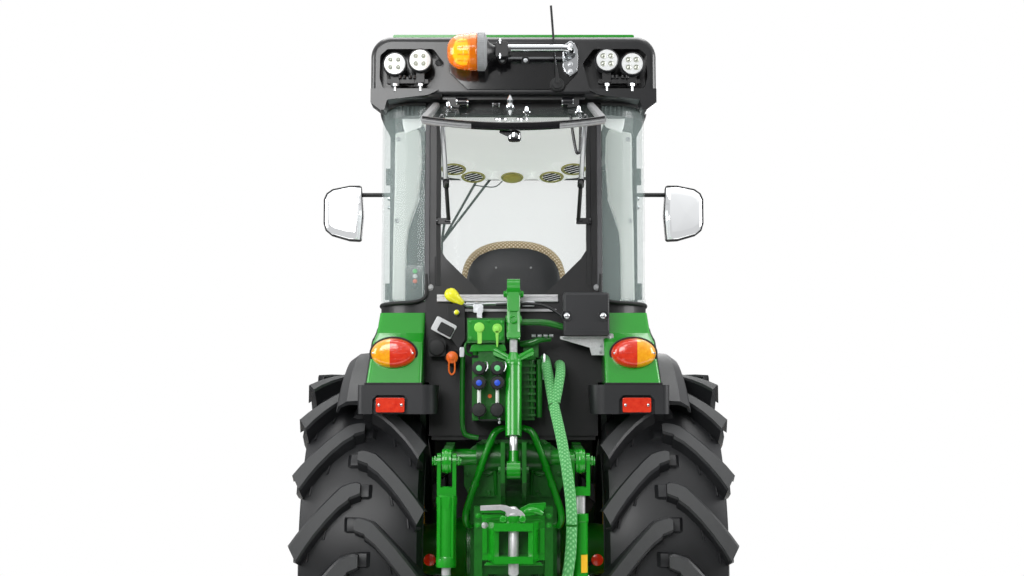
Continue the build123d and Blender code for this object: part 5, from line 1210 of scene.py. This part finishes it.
# ---- Lift hoses ------------------------------------------------------------------------------------
# Two hydraulic hoses in a woven pale-green textile sleeve. Steel clips in the same green as the castings tie
# them together below the valve, and they hang in a bow from there to the housing.


def hose(name, points, radius, material):
    """A hose on one smooth spline through its route's points."""
    line = bpy.data.curves.new(name, "CURVE")
    line.dimensions = "3D"
    spline = line.splines.new("NURBS")
    spline.points.add(len(points) - 1)
    for point, place in zip(spline.points, points):
        point.co = (*place, 1.0)
    spline.order_u = 3
    spline.use_endpoint_u = True
    spline.resolution_u = 8
    obj = bpy.data.objects.new(name, line)
    bpy.context.collection.objects.link(obj)
    bare = bpy.data.meshes.new_from_object(obj)
    bpy.data.meshes.remove(bare)
    line.bevel_depth = radius
    line.bevel_resolution = 5
    line.use_fill_caps = True
    line.materials.append(material)
    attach(obj, "chassis")
    return obj


# coarser than the real braid, so that it shows: pale green threads on mid green
sleeve_cloth = cloth("woven_pale_green_sleeve", "#4FA35A", "#93D897", 38.0)
route = [(0.108, -0.335, 1.340), (0.108, -0.415, 1.340), (0.121, -0.478, 1.270), (0.134, -0.545, 1.180),
         (0.154, -0.640, 1.085), (0.172, -0.692, 0.975), (0.186, -0.702, 0.864), (0.186, -0.702, 0.750),
         (0.176, -0.690, 0.650), (0.158, -0.640, 0.575), (0.138, -0.545, 0.564), (0.122, -0.440, 0.575),
         (0.122, -0.330, 0.575)]
sleeve = hose("lift_hose_sleeve", spots(*route), 0.018, sleeve_cloth)
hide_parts("lift_hoses")
route = [(0.158, -0.335, 1.318), (0.160, -0.420, 1.326), (0.160, -0.486, 1.296), (0.150, -0.520, 1.240),
         (0.139, -0.542, 1.190)]
branch = hose("lift_hose_branch", spots(*route), 0.0165, sleeve_cloth)
ties = ([], [])
for x, y, z, way in ((0.1345, -0.548, 1.176, Vector((0.17, -0.72, -0.68))),
                     (0.186, -0.701, 0.800, Vector((0, 0, -1)))):
    lathe(ties, spot(x, y, z), way, [(-0.004, 0.0178), (-0.003, 0.0202), (0.003, 0.0202), (0.004, 0.0178)],
          steps=24)
piece("hose_ties", ties, shaded_green_casting)


# ---- Housing details and shade plates -------------------------------------------------------------
# Two thick painted pipes run in a V from the valve to the housing. Behind them are the cast lift cover with
# its ribs and bolts, and dark plates that close the gap between the cab floor and the axle as painted shade.
COVER_BACK = -0.345  # the rear face of the lift cover
vee, cover, gap_plates = ([], []), ([], []), ([], [])
for side in (-1, 1):
    pipe(vee,
         spots((0.030, -0.336, 1.098), (0.040, -0.385, 1.102), (0.066, -0.402, 1.085), (0.090, -0.404, 1.030),
               (0.122, -0.406, 0.940), (0.156, -0.408, 0.840), (0.164, -0.404, 0.800), (0.158, -0.380, 0.772),
               (0.145, -0.340, 0.765), side=side), 0.0120, steps=16)
    for f in (0.34, 0.62):
        middle = spot(side * (0.090 + 0.066 * f), -0.4045, 1.030 - 0.190 * f)
        lathe(vee, middle, Vector((side * 0.34, 0, -0.94)),
              [(-0.008, 0.0128), (-0.007, 0.0142), (0.007, 0.0142), (0.008, 0.0128)], steps=20)
    # a dark plate in the gap above the axle: painted shade
    plate(gap_plates, ((0.10, 1.09), (0.298, 1.09), (0.298, 0.80), (0.262, 0.752), (0.10, 0.752)),
          spot(0, 0.045, 0), 0.012, side)
    plate(gap_plates, ((0.246, 0.925), (0.296, 0.893), (0.298, 0.823), (0.246, 0.868)), spot(0, -0.100, 0),
          0.145, side)
    plate(cover, ((0.0, 1.062), (0.108, 1.062), (0.150, 1.030), (0.172, 0.975), (0.172, 0.905),
                  (0.150, 0.865), (0.0, 0.865)), spot(0, -0.331, 0), -0.014, side)
    for x, z in ((0.158, 0.990), (0.158, 0.945), (0.150, 0.885), (0.110, 1.045), (0.085, 0.878)):
        bolt(cover, spot(side * x, COVER_BACK, z), BACK, 0.0075)
    pipe(cover, spots((0.058, -0.346, 1.055), (0.064, -0.350, 0.98), (0.060, -0.346, 0.87), side=side), 0.007,
         steps=8)
    lathe(cover, spot(side * 0.092, COVER_BACK, 0.965), BACK,
          [(0, 0.030), (0.006, 0.030), (0.010, 0.026), (0.006, 0.022), (0.006, 0.010), (0.012, 0.008),
           (0.013, 0)], steps=32)
for z in (0.885, 0.905, 0.925):
    plate(cover, rounded(0.052, 0.006, 0.002), spot(0, COVER_BACK, z), -0.012)
vee_pipes = piece("lift_pipe_pair", vee, green_enamel, angle=50)
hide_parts("lift_pipes")
piece("lift_housing_cover", cover, shaded_green_casting, bevel=0.0015)
piece("dark_gap_plates_painted_shade", gap_plates, dark_moulding, bevel=0.004)


# ---- Trailer hitch and power take-off -------------------------------------------------------------
# The jaw is cast and painted; its pin is bare steel with a zinc lifting lever and a flat green latch lever.
# A wire clip holds the pin from below. The power take-off shaft has six ground splines.
JAW_BACK = -0.700  # the rear face of the jaw and of the frame that carries it
hitch_steel, hitch_green, wire = ([], []), ([], []), ([], [])
lathe(hitch_steel, spot(0, -0.765, 0.655), UP,
      [(-0.006, 0.012), (0.0, 0.0165), (0.158, 0.0165), (0.160, 0.0155)], steps=32)
lever = [(-0.104, 0.853), (-0.104, 0.868), (-0.040, 0.871), (-0.020, 0.868), (-0.004, 0.859), (0.012, 0.858),
         (0.026, 0.851), (0.036, 0.838), (0.036, 0.818), (0.030, 0.816), (0.026, 0.830), (0.016, 0.838),
         (0.008, 0.834), (-0.020, 0.834), (-0.026, 0.850), (-0.040, 0.855)]
plate(hitch_steel, lever, spot(0, -0.776, 0), -0.010)
lathe(hitch_steel, spot(-0.003, -0.765, 0.836), UP,
      [(0, 0.024), (0.006, 0.024), (0.012, 0.019), (0.022, 0.017), (0.028, 0.010)], steps=28)
plate(hitch_green, [(-0.102, 0.838), (-0.040, 0.840), (-0.030, 0.832), (-0.10, 0.826)], spot(0, -0.760, 0),
      0.014)
plate(hitch_green, [(0.012, 0.842), (0.022, 0.858), (0.050, 0.872), (0.102, 0.876), (0.102, 0.856),
                    (0.060, 0.852), (0.034, 0.842)], spot(0, -0.752, 0), 0.012)
pipe(hitch_green,
     spots((0.030, -0.764, 0.843), (0.050, -0.768, 0.853), (0.075, -0.768, 0.850), (0.092, -0.766, 0.841)),
     [0.007 + 0.004 * sin(pi * k / 24) for k in range(25)], steps=12)
for x in (-0.033, 0.028):
    lathe(hitch_green, spot(x, -0.790, 0.828), BACK, [(0, 0.011), (0.010, 0.011), (0.012, 0.008)], steps=8)
# the jaw's raised rims, its cheeks and the bolts of the frame that carries it
for z, low in ((0.8155, 0.0), (0.6895, -0.010)):
    plate(hitch_green, [(-0.095, -0.006 + low), (0.095, -0.006 + low), (0.086, 0.004 + low),
                        (-0.086, 0.004 + low)], spot(0, JAW_BACK, z), -0.006)
for side in (-1, 1):
    plate(hitch_green, ((0.084, 0.712), (0.099, 0.712), (0.099, 0.790), (0.084, 0.790)), spot(0, JAW_BACK, 0),
          -0.008, side)
    for z in (0.42, 0.50, 0.80, 0.83):
        bolt(hitch_green, spot(side * 0.113, JAW_BACK, z), BACK, 0.006)
bolt(hitch_steel, spot(-0.092, -0.7005, 0.800), BACK, 0.007)
for k in range(3):
    turn = radians(40 + 50 * k)
    loop = [spot(-0.004 + 0.030 * cos(turn) * cos(a), -0.768 + 0.018 * sin(a),
                 0.638 + 0.012 * sin(turn) * cos(a)) for a in (2 * pi * n / 12 for n in range(13))]
    pipe(wire, loop, 0.0018, steps=6)
splines = ([], [])
ring = []
for k in range(6):
    a = 2 * pi * k / 6
    ring += [(r * cos(a + t), r * sin(a + t))
             for r, t in ((0.0150, -0.5), (0.0176, -0.24), (0.0176, 0.24), (0.0150, 0.5))]
plate(splines, ring, spot(0, -0.330, 0.560), -0.078)
piece("hitch_pin_and_lever", hitch_steel, screw_steel, bevel=0.002)
piece("hitch_latch_and_rims", hitch_green, green_enamel, bevel=0.0015)
piece("hitch_wire_clip", wire, zinc_plate)
piece("power_take_off_splines", splines, screw_steel, bevel=0.0006)


# ---- Wheels and hubs ------------------------------------------------------------------------------
# Pressed steel discs in yellow enamel, held by a ring of nuts round each hub. The hubs end in turned caps,
# and a valve stem stands out of each rim.
NUTS, CAP_OUT = 8, 0.034  # the nuts of one ring, and how far the hub's cap stands out of the disc
for end, hub_r, ring_r, nut, inset, valve_r in (("rear", 0.092, 0.137, 0.013, 0.105, 0.300),
                                                ("front", 0.070, 0.102, 0.011, 0.025, 0.200)):
    centre = joint[f"{end}_right_spin"]
    disc = centre.x - inset
    for side, name in ((1, "right"), (-1, "left")):
        studs, cap_shape, stem = ([], []), ([], []), ([], [])
        at_hub = Vector((side * disc, centre.y, centre.z))
        way = OUT * side
        for spoke in spokes(NUTS, UP, BACK, 0.5):
            place = at_hub + way * 0.0085 + spoke * ring_r
            lathe(studs, place, way, [(0, nut * 1.35), (0.003, nut * 1.35), (0.0035, nut * 1.1)], steps=16)
            lathe(studs, place, way, [(0.003, nut), (0.016, nut), (0.018, nut * 0.8)], steps=6)
            lathe(studs, place, way, [(0.016, nut * 0.5), (0.027, nut * 0.5), (0.028, nut * 0.35)], steps=12)
        lathe(cap_shape, at_hub + way * CAP_OUT, way,
              [(0, hub_r * 0.96), (0.004, hub_r * 0.92), (0.007, hub_r * 0.66), (0.022, hub_r * 0.62),
               (0.030, hub_r * 0.52), (0.033, hub_r * 0.2), (0.034, 0)], steps=48)
        for spoke in spokes(6, UP, BACK):
            bolt(cap_shape, at_hub + way * (CAP_OUT + 0.006) + spoke * hub_r * 0.80, way, 0.005)
        base = at_hub + way * 0.05 + UP * valve_r
        pipe(stem, [base, base + way * 0.02 - UP * 0.012, base + way * 0.034 - UP * 0.016], 0.004, steps=8)
        piece(f"{end}_wheel_nuts_{name}", studs, zinc_plate, f"{end}_wheel_{name}", bevel=0.0006)
        piece(f"{end}_hub_cap_{name}", cap_shape, yellow_enamel, f"{end}_wheel_{name}", angle=40)
        piece(f"{end}_valve_stem_{name}", stem, rubber, f"{end}_wheel_{name}")


# ---- Bonnet, grille and head lamps ----------------------------------------------------------------
# The enamelled bonnet has a raised spine and slotted side panels in black. Behind the dark grille bars is a
# woven wire mesh, and the head lamps are clear lenses over turned reflectors.
spine, slots, mesh_wires, lamp_glass, lamp_cups = (([], []) for _ in range(5))
hood_line = [(1.20, 1.408), (1.60, 1.385), (2.00, 1.362), (2.40, 1.2912), (2.78, 1.224)]
rows = [[spot(x, y, z + 0.002 + h) for x, h in ((-0.085, -0.004), (-0.072, 0.005), (-0.03, 0.008),
                                                (0.03, 0.008), (0.072, 0.005), (0.085, -0.004))]
        for y, z in hood_line]
grid(spine, rows)
for side in (-1, 1):
    for k in range(9):
        y = 1.42 + 0.055 * k
        half_width = 0.268 - 0.006 * (y - 1.165) / 0.835  # the bonnet draws in towards the front
        slab(slots, rounded(0.026, 0.150, 0.011), spot(side * half_width, y, 1.150 - 0.0036 * k), (0, 1, 0),
             UP, (side * 0.003, 0, 0))
    lathe(lamp_cups, spot(side * 0.140, 2.890, 1.153), -BACK,
          [(0, 0.036), (0.001, 0.036), (0.001, 0.032), (-0.006, 0.012)], steps=40)
    lathe(lamp_glass, spot(side * 0.140, 2.8905, 1.153), -BACK,
          [(0, 0.0375), (0.003, 0.036), (0.006, 0.020), (0.007, 0)], steps=40)
for k in range(25):
    x = -0.192 + 0.016 * k
    rod(mesh_wires, spots((x, 2.842, 0.925), (x, 2.842, 1.100)), 0.0012, steps=5)
for k in range(11):
    z = 0.930 + 0.016 * k
    rod(mesh_wires, spots((-0.200, 2.8425, z), (0.200, 2.8425, z)), 0.0012, steps=5)
piece("bonnet_spine", spine, green_enamel, "hood", angle=60)
piece("bonnet_slots", slots, rubber, "hood", bevel=0.0015)
piece("grille_mesh", mesh_wires, zinc_plate, "hood")
piece("head_lamp_cups", lamp_cups, chrome, "hood")
piece("head_lamp_glass", lamp_glass, white_lens, "hood", angle=60)


# ---- Doors, steps and tank ------------------------------------------------------------------------
# The glass doors have black pull handles with a lock barrel, and pinned hinges. Steps are pressed with round
# grip holes, and the fuel tank is moulded with a screwed filler cap.
DOOR_X, DOOR_HINGE, DOOR_LEAN = 0.480, 0.186, 0.075 / 0.930  # the doors come 75 mm in over their 930 mm
HANDLE_Y = 0.955
grips, cap_top = ([], []), ([], [])
for side, name in ((1, "right"), (-1, "left")):
    handle, lock = ([], []), ([], [])

    def on_door(y, z, out_by=0.0):
        """A point on the door's outer face, y from the rear axle."""
        return spot(side * (DOOR_X + out_by - DOOR_LEAN * (y - DOOR_HINGE)), y, z)

    pipe(handle, [on_door(HANDLE_Y, z, out_by)
                  for z, out_by in ((1.50, 0.004), (1.50, 0.034), (1.53, 0.042), (1.62, 0.042), (1.65, 0.034),
                                    (1.65, 0.004))], 0.009, steps=12)
    slab(handle, rounded(0.050, 0.200, 0.012), on_door(HANDLE_Y, 1.575, 0.000), (0, 1, 0), UP,
         (side * 0.006, 0, 0))
    lathe(lock, on_door(HANDLE_Y, 1.475, 0.006), OUT * side,
          [(0, 0.012), (0.008, 0.012), (0.009, 0.009), (0.007, 0.003)], steps=24)
    for z in (1.985, 1.951):
        bolt(lock, on_door(0.200, z, 0.008), OUT * side, 0.006)
    piece(f"door_handle_{name}", handle, gloss_trim, f"door_{name}", bevel=0.001, angle=50)
    piece(f"door_lock_{name}", lock, chrome, f"door_{name}")
    for z in (0.367, 0.642):
        for k in range(3):
            for n in range(2):
                lathe(grips, spot(side * (0.430 + 0.036 * n), 0.79 + 0.07 * k, z), UP,
                      [(-0.001, 0.013), (0.004, 0.0115), (0.004, 0.008), (0.0005, 0.0075)], steps=20)
lathe(cap_top, spot(-0.330, 1.130, 0.813), UP,
      [(0, 0.052), (0.010, 0.052), (0.012, 0.046), (0.034, 0.044), (0.038, 0.036), (0.039, 0)], steps=40)
for way in spokes(12, OUT, BACK):
    rod(cap_top, [spot(-0.330, 1.130, 0.827) + way * 0.0455, spot(-0.330, 1.130, 0.846) + way * 0.0445],
        0.0035, steps=6)
piece("step_grips", grips, black_coat)
piece("tank_cap", cap_top, rubber, angle=40)
